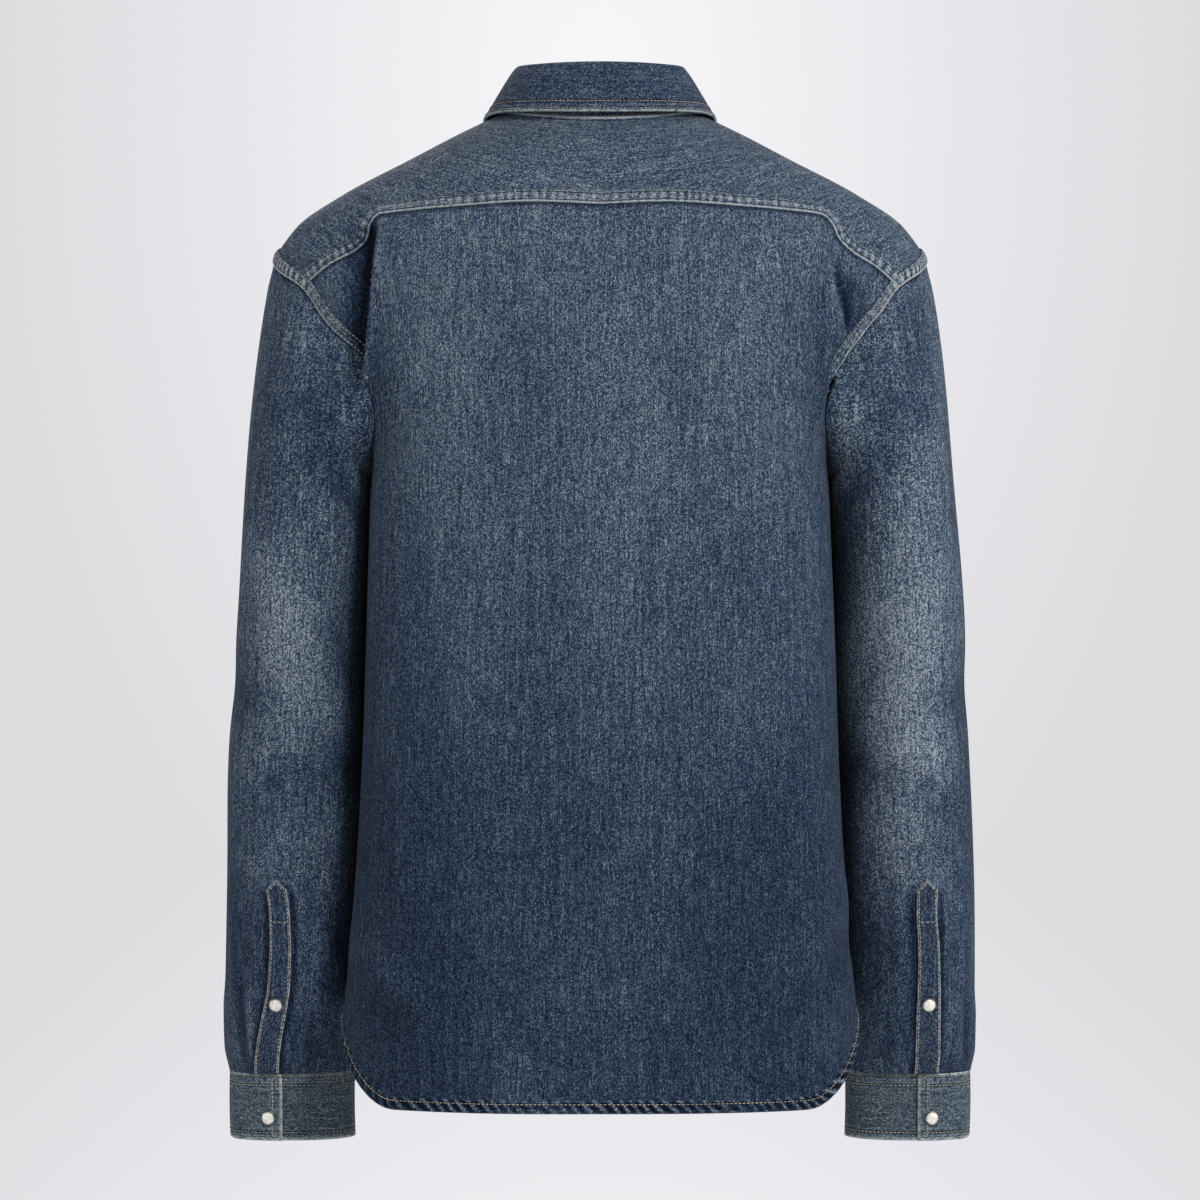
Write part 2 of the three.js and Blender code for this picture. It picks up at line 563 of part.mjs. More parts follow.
// Cuff: a band that goes once round and on over its own end. turn grows past a full circle there.
const CUFF_START = 40 * DEGREE; // where the under end begins, on the outer side of the back
const CUFF = {
  halfX: 47,
  depth: 34,
  x: (SLEEVE.at(-1).out + SLEEVE.at(-1).inside) / 2,
  y: SLEEVE.at(-1).yMid,
  zTop: SLEEVE.at(-1).zOut - SEAM_GAP,
  lean: -5,
};
const cuffOverlapTurn = CUFF_OVERLAP / CUFF.depth;
function cuff(turn, down) {
  const over = smooth((turn - CUFF_START - 2 * Math.PI + 0.35) / 0.3) * (STIFF_CLOTH + LAY_GAP);
  const [c, s] = [Math.cos(turn), Math.sin(turn)];
  const n = 2.2;
  const reach = (Math.abs(c) ** n + Math.abs(s) ** n) ** (-1 / n);
  return new THREE.Vector3(
    CUFF.x + (CUFF.halfX + over) * c * reach,
    CUFF.y + CUFF.lean * down + (CUFF.depth + over) * s * reach,
    CUFF.zTop - CUFF_HEIGHT * down,
  );
}
const cuffNormal = (turn, down) => normalOf(cuff, turn, down, STEP, STEP).negate();

function addCuffs() {
  const left = wall({
    point: cuff,
    normal: cuffNormal,
    columnsAt: steps(32, CUFF_START, CUFF_START + 2 * Math.PI + cuffOverlapTurn),
    rowsAt: steps(2),
    thickness: STIFF_CLOTH,
  });
  add("cuff_left", left, materials.cross_denim);
  add("cuff_right", mirrored(left), materials.cross_denim);
}

// Placket of the sleeve's slit: a strip with a pointed top, lying on the back of the sleeve above the cuff.
// along: mm down the sleeve. left, right: degrees round it of the strip's middle on each sleeve.
const SLEEVE_PLACKET = { half: 8.2, top: 470, point: 8 };
const PLACKET_LINE = [
  { along: 460, left: 79, right: 78 },
  { along: 489, left: 84, right: 78.5 },
  { along: 515, left: 85, right: 77 },
  { along: 543, left: 83.6, right: 77 },
  { along: 568, left: 78.5, right: 77.5 },
  { along: 590, left: 73.5, right: 77 },
  { along: 611, left: 70, right: 76.5 },
];
const placketLine = columns(PLACKET_LINE, "along");
function sleevePlacketPoint(side, across, along, lift) {
  const share = (along - SLEEVE_PLACKET.top) / (SLEEVE_END - SLEEVE_PLACKET.top);
  const peak = SLEEVE_PLACKET.point * (1 - Math.abs(across)) * (share <= 0 ? 1 : 0);
  const mmPerTurn = lerp(58, 44, smooth(share));
  const turn = placketLine[side](along) * DEGREE - (across * SLEEVE_PLACKET.half) / mmPerTurn;
  return sleeve(turn, along - peak).addScaledVector(sleeveNormal(turn, along - peak), lift);
}

function sleevePlacket(side) {
  const point = (across, along) => sleevePlacketPoint(side, across, along, LAY_GAP + CLOTH);
  return wall({
    point,
    normal: (across, along) => normalOf(point, across, along + 1, STEP, STEP),
    columnsAt: steps(4, -1, 1),
    rowsAt: [SLEEVE_PLACKET.top, ...SLEEVE_ROWS.filter((row) => row > SLEEVE_PLACKET.top), SLEEVE_END - 1.5],
    thickness: CLOTH,
  });
}

function addSleevePlackets() {
  add("sleeve_placket_left", sleevePlacket("left"), materials.denim);
  add("sleeve_placket_right", mirrored(sleevePlacket("right")), materials.denim);
}

// Collar stand: open at centre front, where its left end lies over its right one.
function addCollar() {
  const point = (angle, up) =>
    stand(angle, up).addScaledVector(standNormal(angle, up), standStep(angle - CENTRE_FRONT));
  const normal = (angle, up) => normalOf(point, angle, up, STEP, STEP);
  const end = COLLAR_FOLD_END;
  const near = [end, end + 3.5, end + 8];
  const foldAngles = [...near, ...steps(28, end + 13, 167 - end), ...near.map((angle) => 180 - angle).reverse()];
  const tab = steps(4, -90 - STAND_TAB / DEGREE, end).slice(0, -1);
  const standAngles = [...tab, ...foldAngles, ...tab.map((angle) => 180 - angle).reverse()];
  const columnsAt = standAngles.map((angle) => angle * DEGREE);
  const standWall = wall({ point, normal, columnsAt, rowsAt: steps(2), thickness: STIFF_CLOTH });
  add("collar_stand", standWall, materials.cross_denim);
  const leaf = wall({
    point: collar,
    normal: collarNormal,
    columnsAt: foldAngles.map((angle) => (angle - end) / (180 - 2 * end)),
    rowsAt: [0, 0.14, 0.3, 0.5, 0.75, 1],
    thickness: STIFF_CLOTH,
  });
  add("collar", leaf, materials.cross_denim);
}

// Placket down the front, lying over the edges of both fronts.
const frontPoint = (x, down) => torso(frontEdgeAngle(down, x), down);
const frontNormal = (x, down) => torsoNormal(frontEdgeAngle(down, x), down);
const PLACKET_TOP = 5;
const placketBottom = hemDown(CENTRE_FRONT);
const placketLift = LAY_GAP + CLOTH;
function addPlacket() {
  const point = (x, down) => frontPoint(x, down).addScaledVector(frontNormal(x, down), placketLift);
  const rowsAt = [PLACKET_TOP, ...steps(FRONT_ROWS.all, 0, placketBottom).slice(1)];
  const columnsAt = steps(2, -PLACKET_WIDTH / 2, PLACKET_WIDTH / 2);
  add("front_placket", wall({ point, normal: frontNormal, columnsAt, rowsAt, thickness: CLOTH }), materials.denim);
}

// Pearl snap: a rim with a shallow dome, standing on a face.
function snapGeometry() {
  const profile = [
    [0, 0],
    [SNAP_RADIUS, 0],
    [SNAP_RADIUS, SNAP_RIM],
    [SNAP_RADIUS * 0.72, SNAP_RIM + (SNAP_DOME - SNAP_RIM) * 0.62],
    [0, SNAP_DOME],
  ];
  const lathe = new THREE.LatheGeometry(profile.map(([r, h]) => new THREE.Vector2(r, h)), 12);
  return lathe.applyMatrix4(new THREE.Matrix4().makeRotationX(Math.PI / 2));
}

function addSnap(name, face, outward) {
  const mesh = new THREE.Mesh(snapGeometry(), materials.pearl);
  mesh.name = name;
  mesh.quaternion.setFromUnitVectors(new THREE.Vector3(0, 0, 1), outward);
  mesh.position.copy(face).addScaledVector(outward, LAY_GAP);
  shirt.add(mesh);
}

function addSnapPair(name, place) {
  const flip = new THREE.Vector3(-1, 1, 1);
  addSnap(`snap_${name}_left`, ...place("left"));
  addSnap(`snap_${name}_right`, ...place("right").map((vector) => vector.multiply(flip)));
}

function addSnaps() {
  for (let i = 0; i < FRONT_SNAPS; i++) {
    const down = lerp(60, placketBottom - 95, i / (FRONT_SNAPS - 1));
    const out = frontNormal(0, down);
    addSnap(`snap_front_${i + 1}`, frontPoint(0, down).addScaledVector(out, placketLift), out);
  }
  const collarOut = standNormal(CENTRE_FRONT, 0.5);
  const collarFace = stand(CENTRE_FRONT, 0.5).addScaledVector(collarOut, STIFF_CLOTH + LAY_GAP);
  addSnap("snap_collar", collarFace, collarOut);
  const cuffTurn = CUFF_START + 2 * Math.PI + cuffOverlapTurn * 0.72;
  const onCuff = [cuff(cuffTurn, 0.66), cuffNormal(cuffTurn, 0.66)];
  addSnapPair("cuff", () => [cuff(cuffTurn, 0.66), cuffNormal(cuffTurn, 0.66)]);
  addSnapPair("sleeve", (side) => {
    const nearby = (across, along) => sleevePlacketPoint(side, across, along, LAY_GAP + CLOTH);
    return [nearby(0, SNAP_ON_SLEEVE), normalOf(nearby, 0, SNAP_ON_SLEEVE, STEP, STEP)];
  });
}

addBodyPanels();
addSleeves();
addCuffs();
addSleevePlackets();
addCollar();
addPlacket();
addSnaps();

export default shirt;
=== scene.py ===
"""A long-sleeved denim shirt seen from behind, filled out as it is when worn, with nobody in it.

The cloth repeats the two smooth surfaces of the source, torso(angle, down) and sleeve(turn, along), in mm.
Every panel, seam band and row of stitches is a stretch of one of them, moved out by its own height.
"""
import math

import bmesh
import bpy
import numpy as np
from mathutils import Matrix, Vector


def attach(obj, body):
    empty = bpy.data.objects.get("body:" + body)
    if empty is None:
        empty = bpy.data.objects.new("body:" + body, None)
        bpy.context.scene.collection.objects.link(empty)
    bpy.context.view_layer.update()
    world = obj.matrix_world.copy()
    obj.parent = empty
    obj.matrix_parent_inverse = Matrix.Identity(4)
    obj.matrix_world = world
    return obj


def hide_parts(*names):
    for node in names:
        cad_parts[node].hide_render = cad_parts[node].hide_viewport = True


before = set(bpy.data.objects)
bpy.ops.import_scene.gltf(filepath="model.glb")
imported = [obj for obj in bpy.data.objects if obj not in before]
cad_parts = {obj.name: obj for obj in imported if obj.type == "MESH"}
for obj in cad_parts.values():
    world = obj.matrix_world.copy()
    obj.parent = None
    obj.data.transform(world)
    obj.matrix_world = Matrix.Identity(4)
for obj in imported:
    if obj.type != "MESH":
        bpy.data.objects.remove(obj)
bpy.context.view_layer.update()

# Driving sizes, in mm unless said
MM = 0.001  # metres in a millimetre
PANEL_WALL = 1.1  # one layer of denim with its pile
STIFF_WALL = 2.2  # collar, cuffs and stand: two layers and an interlining
STRIP_WALL = 0.6  # seam bands, whose edges run down into the panel below
PLACKET_LAYERS = 2.0  # a sleeve placket is two layers with turned edges
LAY_GAP = 0.3
SLEEVE_CLEARANCE = 3
CELL = 3.2  # spacing of a panel's points
PLACKET_WIDTH = 34
CENTRE_OVERLAP = 12
CUFF_HEIGHT = 50
CUFF_OVERLAP = 26
STAND = {"back": (39.5, 8), "side": (31.5, 13), "front": (31, 10)}  # rise, lean
STAND_LIFT = 0.5
STAND_TAB = 0.17  # radians past centre front
SNAP_RADIUS = 5.4
SNAP_DOME = 2.2
FRONT_SNAPS = 6
SNAP_ON_SLEEVE = 556
STITCH = {"pitch": 3.1, "length": 2.5, "width": 0.85, "thick": 0.6}
TWIN_ROWS = (1.6, 7.6)  # how far the two rows of stitches lie from a seam
BODY_END = 746  # the body's last "down"
SIDES = ("left", "right")

DEGREE = math.pi / 180
FULL_TURN = 2 * math.pi
SEARCH_STEPS = 30
CENTRE_FRONT = -90 * DEGREE


def table(names, rows):
    """Rows of numbers under named columns."""
    keys = names.split()
    return [dict(zip(keys, row)) for row in rows]


TORSO = table(
    "down half back front zSide zBack zFront square",
    [
        (0, 73, 72, 80, 0, -12, -80, 2.0),
        (27, 104, 93, 97, -15, -30, -103, 2.05),
        (51, 143.5, 107, 110, -36, -50, -122, 2.15),
        (78, 190.5, 117, 121, -61, -75, -144, 2.25),
        (109, 227, 125, 128, -87, -105, -166, 2.3),
        (139, 243, 129, 132, -117, -135, -188, 2.3),
        (166, 236, 131, 134, -146, -162, -208, 2.3),
        (191, 219, 132, 135, -175, -187, -222, 2.35),
        (216, 200, 132, 136, -207, -212, -234, 2.4),
        (241, 187, 132, 136, -236, -237, -248, 2.5),
        (266, 180, 132, 136, -262, -262, -266, 2.6),
        (324, 178, 131, 135, -320, -320, -320, 2.8),
        (454, 181, 129, 131, -450, -450, -450, 2.8),
        (604, 190, 131, 130, -600, -600, -600, 2.8),
        (666, 196, 132, 131, -662, -662, -662, 2.8),
        (746, 199, 133, 132, -742, -742, -742, 2.8),
    ],
)
SLEEVE = table(
    "along out inside zOut zIn back front yMid",
    [
        (0, 242, 166, -110, -262, 78, 78, 0),
        (24, 247, 167, -132, -268, 79, 80, 0),
        (60, 252.5, 168.5, -166, -278, 79, 81, -1),
        (105, 258, 170, -210, -293, 77, 80, -2),
        (160, 263, 171, -264, -316, 74, 77, -3),
        (220, 267.5, 172, -324, -348, 70, 73, -4),
        (300, 272, 174, -404, -414, 66, 68, -5),
        (400, 277.5, 176.5, -504, -508, 62, 62, -9),
        (500, 280, 180, -604, -604, 57, 57, -16),
        (560, 280.5, 182, -664, -664, 52, 52, -21),
        (592, 280, 183, -696, -696, 45, 45, -24),
        (611, 278, 184, -714, -714, 37, 37, -26),
    ],
)
SLEEVE_END = SLEEVE[-1]["along"]
SLEEVE_SQUARE = 2.25
ARMHOLE_FADE = {"outside": 130, "inside": 45}
ARMHOLE_STEP = {"outside": 0.1, "inside": 0.5}
ARMHOLE = table(
    "turn angle down",
    [
        (0, 0, 131),
        (8, 3.1, 132.5),
        (24, 9.4, 140.5),
        (47, 17, 152.5),
        (62, 20.4, 170),
        (75, 23, 184),
        (88, 25.3, 197),
        (103, 26.2, 212),
        (120, 25.2, 230),
        (138, 21.5, 248),
        (158, 13, 262),
        (172, 4.8, 266.6),
        (180, 0, 267),
    ],
)
UNDERARM_DOWN = ARMHOLE[-1]["down"]
YOKE_EDGE = table(
    "at x z",
    [
        (0, 217, -134),
        (0.12, 200, -121),
        (0.24, 181, -110),
        (0.33, 172, -101),
        (0.4, 167, -90),
        (0.47, 159, -83.5),
        (0.55, 145, -82),
        (0.7, 100, -79),
        (0.85, 50, -76.5),
        (1, 0, -78.5),
    ],
)
YOKE_MEETS_ARMHOLE = 47 * DEGREE
FRONT_SEAM_ANGLE = -27 * DEGREE  # at the neck
FRONT_SEAM_TURN = -27 * DEGREE  # at the armhole
YOKE_TURN_SHARE = 0.26  # of the yoke's outer edge, on each arm
HEM = {"zLow": -727, "zSide": -662, "riseFrom": 36 * DEGREE, "riseTo": 5 * DEGREE}
BACK_UNDER = 8 / 25  # share of the back's side edge that lies on the armhole
FRONT_YOKE = 7 / 32  # shares of the front's side edge: yoke seam, then armhole
FRONT_UNDER = 17 / 32

# Spare cloth down each side of the back, folded over the armhole
# deep: strength of the painted shadow line under each fold's edge
FOLDS = table(
    "side xTop xLow zTop zLow tail proud width turn hollow deep",
    [
        (1, 160, 173, -80, -200, 90, 7, 8, 0.95, 8, 0.42),
        (-1, 164, 177, -112, -156, 26, 2.5, 6, 0.7, 3.2, 0.4),
    ],
)
SLEEVE_DENTS = table(
    "turn at slant depth width spread",
    [
        (40, 330, 0.25, 3, 34, 36),
        (130, 385, -0.2, 3.5, 30, 34),
        (300, 350, 0.3, 4, 30, 40),
        (240, 420, -0.3, 3, 26, 36),
    ],
)

# Soft ridges and troughs on the back and front. From (x1, z1) to (x2, z2), width and height in mm.
BACK_CREASES = table(
    "x1 z1 x2 z2 width height",
    [
        (150, -120, 168, -255, 16, -2.2),
        (118, -150, 140, -330, 30, 1.2),
        (-150, -130, -172, -240, 18, -1.8),
        (-120, -140, -150, -300, 26, 1.4),
        (-60, -150, -95, -420, 34, -1.1),
        (40, -200, 70, -520, 38, -1.0),
        (-20, -330, 10, -690, 36, 1.2),
        (165, -300, 150, -560, 22, 1.6),
        (-170, -320, -160, -600, 24, 1.4),
        (100, -420, 120, -690, 28, -1.3),
        (-110, -460, -90, -700, 30, -1.2),
        (190, -600, 120, -655, 14, 1.6),
        (188, -628, 130, -672, 10, -1.4),
        (-192, -560, -130, -640, 16, 1.8),
        (-190, -600, -128, -668, 12, -1.6),
        (-60, -640, 60, -662, 16, 0.8),
    ],
)
FRONT_CREASES = table(
    "x1 z1 x2 z2 width height",
    [
        (150, -150, 120, -300, 20, -2.4),
        (-150, -160, -112, -320, 22, -2.2),
        (90, -180, 100, -430, 32, 1.6),
        (-84, -190, -104, -460, 30, 1.4),
        (60, -330, 40, -620, 28, -1.4),
        (-58, -300, -44, -590, 26, -1.5),
        (160, -420, 120, -660, 24, 1.8),
        (-164, -400, -124, -650, 22, 1.7),
        (24, -270, 60, -300, 12, 1.0),
        (24, -420, 70, -445, 12, 1.1),
        (-24, -350, -66, -372, 12, 1.0),
        (-24, -500, -72, -520, 12, 1.1),
    ],
)
# On the sleeves. From (turn1, along1) to (turn2, along2), turns in degrees round the arm.
SLEEVE_CREASES = {
    "left": table(
        "turn1 along1 turn2 along2 width height",
        [
            (20, 20, 60, 120, 12, -1.4),
            (60, 40, 150, 150, 18, -2.2),
            (100, 30, 160, 110, 12, 1.6),
            (30, 200, 110, 290, 16, 1.4),
            (110, 250, 150, 330, 14, -1.8),
            (50, 330, 130, 400, 18, 1.5),
            (60, 400, 140, 350, 14, -1.5),
            (30, 470, 100, 430, 16, 1.3),
            (100, 470, 150, 520, 12, -1.3),
            (44, 520, 50, 611, 5, -3.0),
            (56, 530, 60, 611, 5, 1.6),
            (15, 540, 8, 611, 7, 1.4),
            (110, 560, 112, 611, 5, -1.6),
            (200, 100, 270, 200, 16, -2.0),
            (230, 260, 300, 330, 16, 1.8),
            (220, 380, 310, 420, 14, -2.2),
            (210, 470, 290, 440, 14, 1.5),
            (260, 540, 255, 611, 6, -1.6),
            (300, 550, 304, 611, 6, 1.4),
        ],
    ),
    "right": table(
        "turn1 along1 turn2 along2 width height",
        [
            (25, 24, 70, 130, 13, -1.5),
            (70, 50, 150, 140, 16, -2.0),
            (110, 24, 165, 100, 12, 1.5),
            (40, 220, 120, 300, 16, 1.4),
            (100, 270, 150, 350, 14, -1.6),
            (60, 340, 140, 410, 18, 1.4),
            (40, 420, 120, 380, 14, -1.5),
            (50, 480, 120, 450, 14, 1.2),
            (100, 520, 150, 500, 12, -1.2),
            (38, 540, 32, 611, 5, -2.8),
            (52, 545, 50, 611, 6, 1.5),
            (16, 550, 10, 611, 7, 1.3),
            (112, 565, 116, 611, 5, -1.4),
            (205, 120, 275, 210, 16, -1.9),
            (225, 250, 295, 320, 16, 1.7),
            (215, 390, 305, 430, 14, -2.0),
            (215, 460, 285, 430, 14, 1.4),
            (255, 545, 250, 611, 6, -1.5),
            (296, 548, 302, 611, 6, 1.3),
        ],
    ),
}


def lerp(a, b, t):
    return a + (b - a) * t


def smooth(t):
    t = np.clip(t, 0, 1)
    return t * t * (3 - 2 * t)


def bell(d):
    return np.exp(-0.5 * d * d)


def unit(v):
    return v / np.linalg.norm(v, axis=-1, keepdims=True)


def stack(x, y, z):
    return np.stack(np.broadcast_arrays(x, y, z), axis=-1)


def steps(count, low=0.0, high=1.0):
    return np.linspace(low, high, count + 1)


def column(rows, by, key):
    """Smooth curve through a table's column that never overshoots its rows."""
    x = np.array([row[by] for row in rows], float)
    y = np.array([row[key] for row in rows], float)
    slope = np.diff(y) / np.diff(x)
    tangent = np.concatenate([slope[:1], np.zeros(len(y) - 2), slope[-1:]])
    product = slope[:-1] * slope[1:]
    same = product > 0
    tangent[1:-1][same] = 2 * product[same] / (slope[:-1] + slope[1:])[same]

    def at(value):
        i = np.searchsorted(x[1:-1], value)
        h = x[i + 1] - x[i]
        t = np.clip((value - x[i]) / h, 0, 1)
        t2, t3 = t * t, t * t * t
        start = y[i] * (2 * t3 - 3 * t2 + 1) + tangent[i] * h * (t3 - 2 * t2 + t)
        return start + y[i + 1] * (3 * t2 - 2 * t3) + tangent[i + 1] * h * (t3 - t2)

    return at


def reach_of(c, s, square):
    """How far a squared-off circle reaches in the direction c, s. square: 2 for a true circle."""
    return (np.abs(c) ** square + np.abs(s) ** square) ** (-1 / square)


def columns(rows, by):
    """Curves through every column of a table."""
    return {key: column(rows, by, key) for key in rows[0]}


body = columns(TORSO, "down")
arm = columns(SLEEVE, "along")
arm_by_height = columns([{**row, "drop": -row["zIn"]} for row in SLEEVE], "drop")
yoke_edge = columns(YOKE_EDGE, "at")
armhole_row = columns(ARMHOLE, "turn")


def creases(rows, names, u, v):
    """Height of soft ridges and troughs at (u, v). Each fades out towards both ends of its line."""
    shape = (-1,) + (1,) * np.ndim(u)
    u1, v1, u2, v2, width, height = [
        np.array([row[key] for row in rows], float).reshape(shape) for key in (*names, "width", "height")
    ]
    du, dv = u2 - u1, v2 - v1
    length = np.hypot(du, dv)
    t = ((u - u1) * du + (v - v1) * dv) / length**2
    off = ((u - u1) * dv - (v - v1) * du) / length
    ends = smooth(t / 0.4 + 0.2) * smooth((1 - t) / 0.4 + 0.2)
    return (height * bell(1.4 * off / width) * ends).sum(axis=0)


def beyond_fold(fold, x, z):
    """How far a point lies beyond a fold's edge, towards the armhole."""
    share = np.clip((fold["zTop"] - z) / (fold["zTop"] - fold["zLow"]), 0, 1)
    return x * fold["side"] - lerp(fold["xTop"], fold["xLow"], share)


def back_fold(x, z):
    """How far the folds sink the cloth beyond their edge, and how far they push it over and under."""
    drop, aside = 0, 0
    for fold in FOLDS:
        off = beyond_fold(fold, x, z)
        lengthwise = smooth((fold["zTop"] - z) / 30) * (1 - smooth((fold["zLow"] - z) / fold["tail"]))
        drop = drop - fold["proud"] * lengthwise * smooth(off / fold["width"] + 0.5)
        aside = aside - fold["side"] * fold["turn"] * lengthwise * off * bell(off / fold["width"] * 2.6)
    return drop, aside


def torso(angle, down):
    """Outer face of the body. angle: 0 at the wearer's left side, 90 degrees at centre back."""
    c, s = np.cos(angle), np.sin(angle)
    behind = s >= 0
    depth = np.where(behind, body["back"](down), body["front"](down))
    z_middle = np.where(behind, body["zBack"](down), body["zFront"](down))
    half = body["half"](down)
    reach = reach_of(c / half, s / depth, body["square"](down))
    z = body["zSide"](down) + (z_middle - body["zSide"](down)) * np.abs(s) ** 1.5
    x, y = reach * c, reach * s
    room = half - (arm_by_height["inside"](-z) - SLEEVE_CLEARANCE)
    dent = np.maximum(0, room) * smooth((-z - 180) / 80) * bell((y - arm_by_height["yMid"](-z)) / 42)
    x = x - np.sign(c) * np.minimum(dent, np.abs(x) * 0.5) * smooth(np.abs(c) * 2)
    y = y + np.where(behind, back_fold(x, z)[0] * smooth(s * 3), 0)
    return stack(x, y, z)


class Surface:
    """A smooth surface point(a, b), with b from low to high. facing turns its normal outwards."""

    def __init__(self, point, facing, low, high, step_a=1e-3, step_b=0.1):
        self.point = point
        self.facing = facing
        self.limits = (low + step_b, high - step_b)
        self.step_a = step_a
        self.step_b = step_b

    def slopes(self, a, b):
        b = np.clip(b, *self.limits)
        da = self.point(a + self.step_a, b) - self.point(a - self.step_a, b)
        db = self.point(a, b + self.step_b) - self.point(a, b - self.step_b)
        return da / (2 * self.step_a), db / (2 * self.step_b)

    def normal(self, a, b):
        da, db = self.slopes(a, b)
        return unit(np.cross(da, db)) * self.facing

    def lifted(self, a, b, lift):
        return self.point(a, b) + self.normal(a, b) * np.asarray(lift)[..., None]


plain_torso = Surface(torso, -1, 0, BODY_END)


def body_relief(p):
    """Height of the body's creases and its slow unevenness at a point of the plain form."""
    x, y, z = p[..., 0], p[..., 1], p[..., 2]
    back = smooth(y / 60)
    front = smooth(-y / 60)
    names = ("x1", "z1", "x2", "z2")
    total = creases(BACK_CREASES, names, x, z) * back + creases(FRONT_CREASES, names, x, z) * front
    slow = 0.7 * np.sin(x / 34 + z / 190 + 1.1) * np.sin(z / 88 + 0.4) + 0.4 * np.sin(x / 19 - z / 150)
    return (total + slow * (back + front)) * smooth((-z - 90) / 60) + fold_recess(x, z) * back


def body_cloth(angle, down):
    plain = torso(angle, down)
    aside = back_fold(plain[..., 0], plain[..., 2])[1] * smooth(plain[..., 1] / 60)
    shift = stack(aside, 0, 0)
    return plain + shift + plain_torso.normal(angle, down) * body_relief(plain)[..., None]


def fold_place(fold, x, z):
    """How far a point is beyond a fold's edge, and how much of the fold there is at its height."""
    begun = smooth((fold["zTop"] - 2 - z) / 22)
    ended = smooth((fold["zLow"] - z) / (0.66 * fold["tail"]))
    return beyond_fold(fold, x, z), begun * (1 - ended)


def fold_recess(x, z):
    """Hollow between each fold's edge and the armhole, deepest at the edge."""
    total = 0
    for fold in FOLDS:
        off, lengthwise = fold_place(fold, x, z)
        hollow = smooth(off / 2.8 + 0.5) * (1 - smooth((off - 2) / 26))
        total = total - fold["hollow"] * lengthwise * hollow
    return total


BODY = Surface(body_cloth, -1, 0, BODY_END)


def mirror_angle(angle):
    return math.pi - angle


def on_torso(x, z):
    """Angle and down of the point of the back that is seen at x, z from behind."""
    angle = np.arctan2(110, x)
    down = np.clip(-z, 5, 740)
    for _ in range(SEARCH_STEPS):
        p = torso(angle, down)
        da = (torso(angle + 1e-3, down) - p) / 1e-3
        dd = (torso(angle, down + 0.1) - p) / 0.1
        det = da[..., 0] * dd[..., 2] - dd[..., 0] * da[..., 2]
        ex, ez = x - p[..., 0], z - p[..., 2]
        angle = angle + np.clip((ex * dd[..., 2] - dd[..., 0] * ez) / det, -0.2, 0.2)
        down = np.clip(down + np.clip((da[..., 0] * ez - ex * da[..., 2]) / det, -40, 40), 0, BODY_END)
    return angle, down


def armhole(turn):
    """Point of the left armhole, as angle and down. turn: 0 on the shoulder, a quarter turn at the back."""
    degrees = np.abs(np.arctan2(np.sin(turn), np.cos(turn))) / DEGREE
    return armhole_row["angle"](degrees) * DEGREE * np.sign(np.sin(turn)), armhole_row["down"](degrees)


def hem_down(angle):
    """Down of the hem, lowest at the back and front and rounded up to the side seams."""
    from_side = np.abs(np.arcsin(np.sin(angle)))
    rise = 1 - smooth((from_side - HEM["riseTo"]) / (HEM["riseFrom"] - HEM["riseTo"]))
    return -lerp(HEM["zLow"], HEM["zSide"], rise) + 4


EDGE_SHARES = steps(300)
EDGE_ANGLES, EDGE_DOWNS = on_torso(yoke_edge["x"](EDGE_SHARES), yoke_edge["z"](EDGE_SHARES))


def yoke_outer(share):
    """The yoke's outer edge, from one armhole's front, along the back seam, to the other's."""
    near = np.minimum(share, 1 - share)
    turn = lerp(FRONT_SEAM_TURN, YOKE_MEETS_ARMHOLE, near / YOKE_TURN_SHARE)
    arm_angle, arm_down = armhole(turn)
    at = (near - YOKE_TURN_SHARE) / (0.5 - YOKE_TURN_SHARE)
    angle = np.where(near <= YOKE_TURN_SHARE, arm_angle, np.interp(at, EDGE_SHARES, EDGE_ANGLES))
    down = np.where(near <= YOKE_TURN_SHARE, arm_down, np.interp(at, EDGE_SHARES, EDGE_DOWNS))
    return np.where(share > 0.5, mirror_angle(angle), angle), down


def yoke_inner(share):
    """Angle of the point of the neck that lies across the yoke from its outer edge."""
    near = np.minimum(share, 1 - share)
    first = yoke_outer(np.array(0.0))[0]
    neck = yoke_outer(near)[0] + (FRONT_SEAM_ANGLE - first) * np.clip(1 - near / YOKE_TURN_SHARE, 0, 1)
    return np.where(share > 0.5, mirror_angle(neck), neck)


def yoke_map(share, out):
    inner = yoke_inner(share)
    angle, down = yoke_outer(share)
    return lerp(inner, angle, out), down * out


def patch(top, bottom, left, right):
    """A stretch of the body between four edges that share their corners. The top edge's shape fades out
    quickly on the way down, so that no row of points climbs into the armhole."""
    first, last = np.array(0.0), np.array(1.0)

    def at(a, b):
        parts = []
        for k in (0, 1):
            from_top = top(a)[k] - lerp(top(first)[k], top(last)[k], a)
            from_bottom = bottom(a)[k] - lerp(bottom(first)[k], bottom(last)[k], a)
            parts.append(lerp(left(b)[k], right(b)[k], a) + from_top * (1 - b) ** 5 + from_bottom * b**2)
        return parts

    return at


def side_edge(turn_from, share, start, under):
    """Armhole edge from share start to under, then the side seam down to the hem."""
    along = np.clip((share - start) / (under - start), 0, 1)
    on_arm = armhole(lerp(turn_from, np.sign(turn_from) * math.pi, along))
    seam = lerp(UNDERARM_DOWN, hem_down(0.0), (share - under) / (1 - under))
    below = share >= under
    return np.where(below, 0.0, on_arm[0]), np.where(below, seam, on_arm[1])


def back_left(b):
    return side_edge(YOKE_MEETS_ARMHOLE, b, 0, BACK_UNDER)


def back_right(b):
    angle, down = back_left(b)
    return mirror_angle(angle), down


def back_hem(a):
    angle = lerp(0, math.pi, a)
    return angle, hem_down(angle)


def back_top(a):
    return yoke_outer(lerp(YOKE_TURN_SHARE, 1 - YOKE_TURN_SHARE, a))


back_map = patch(back_top, back_hem, back_left, back_right)


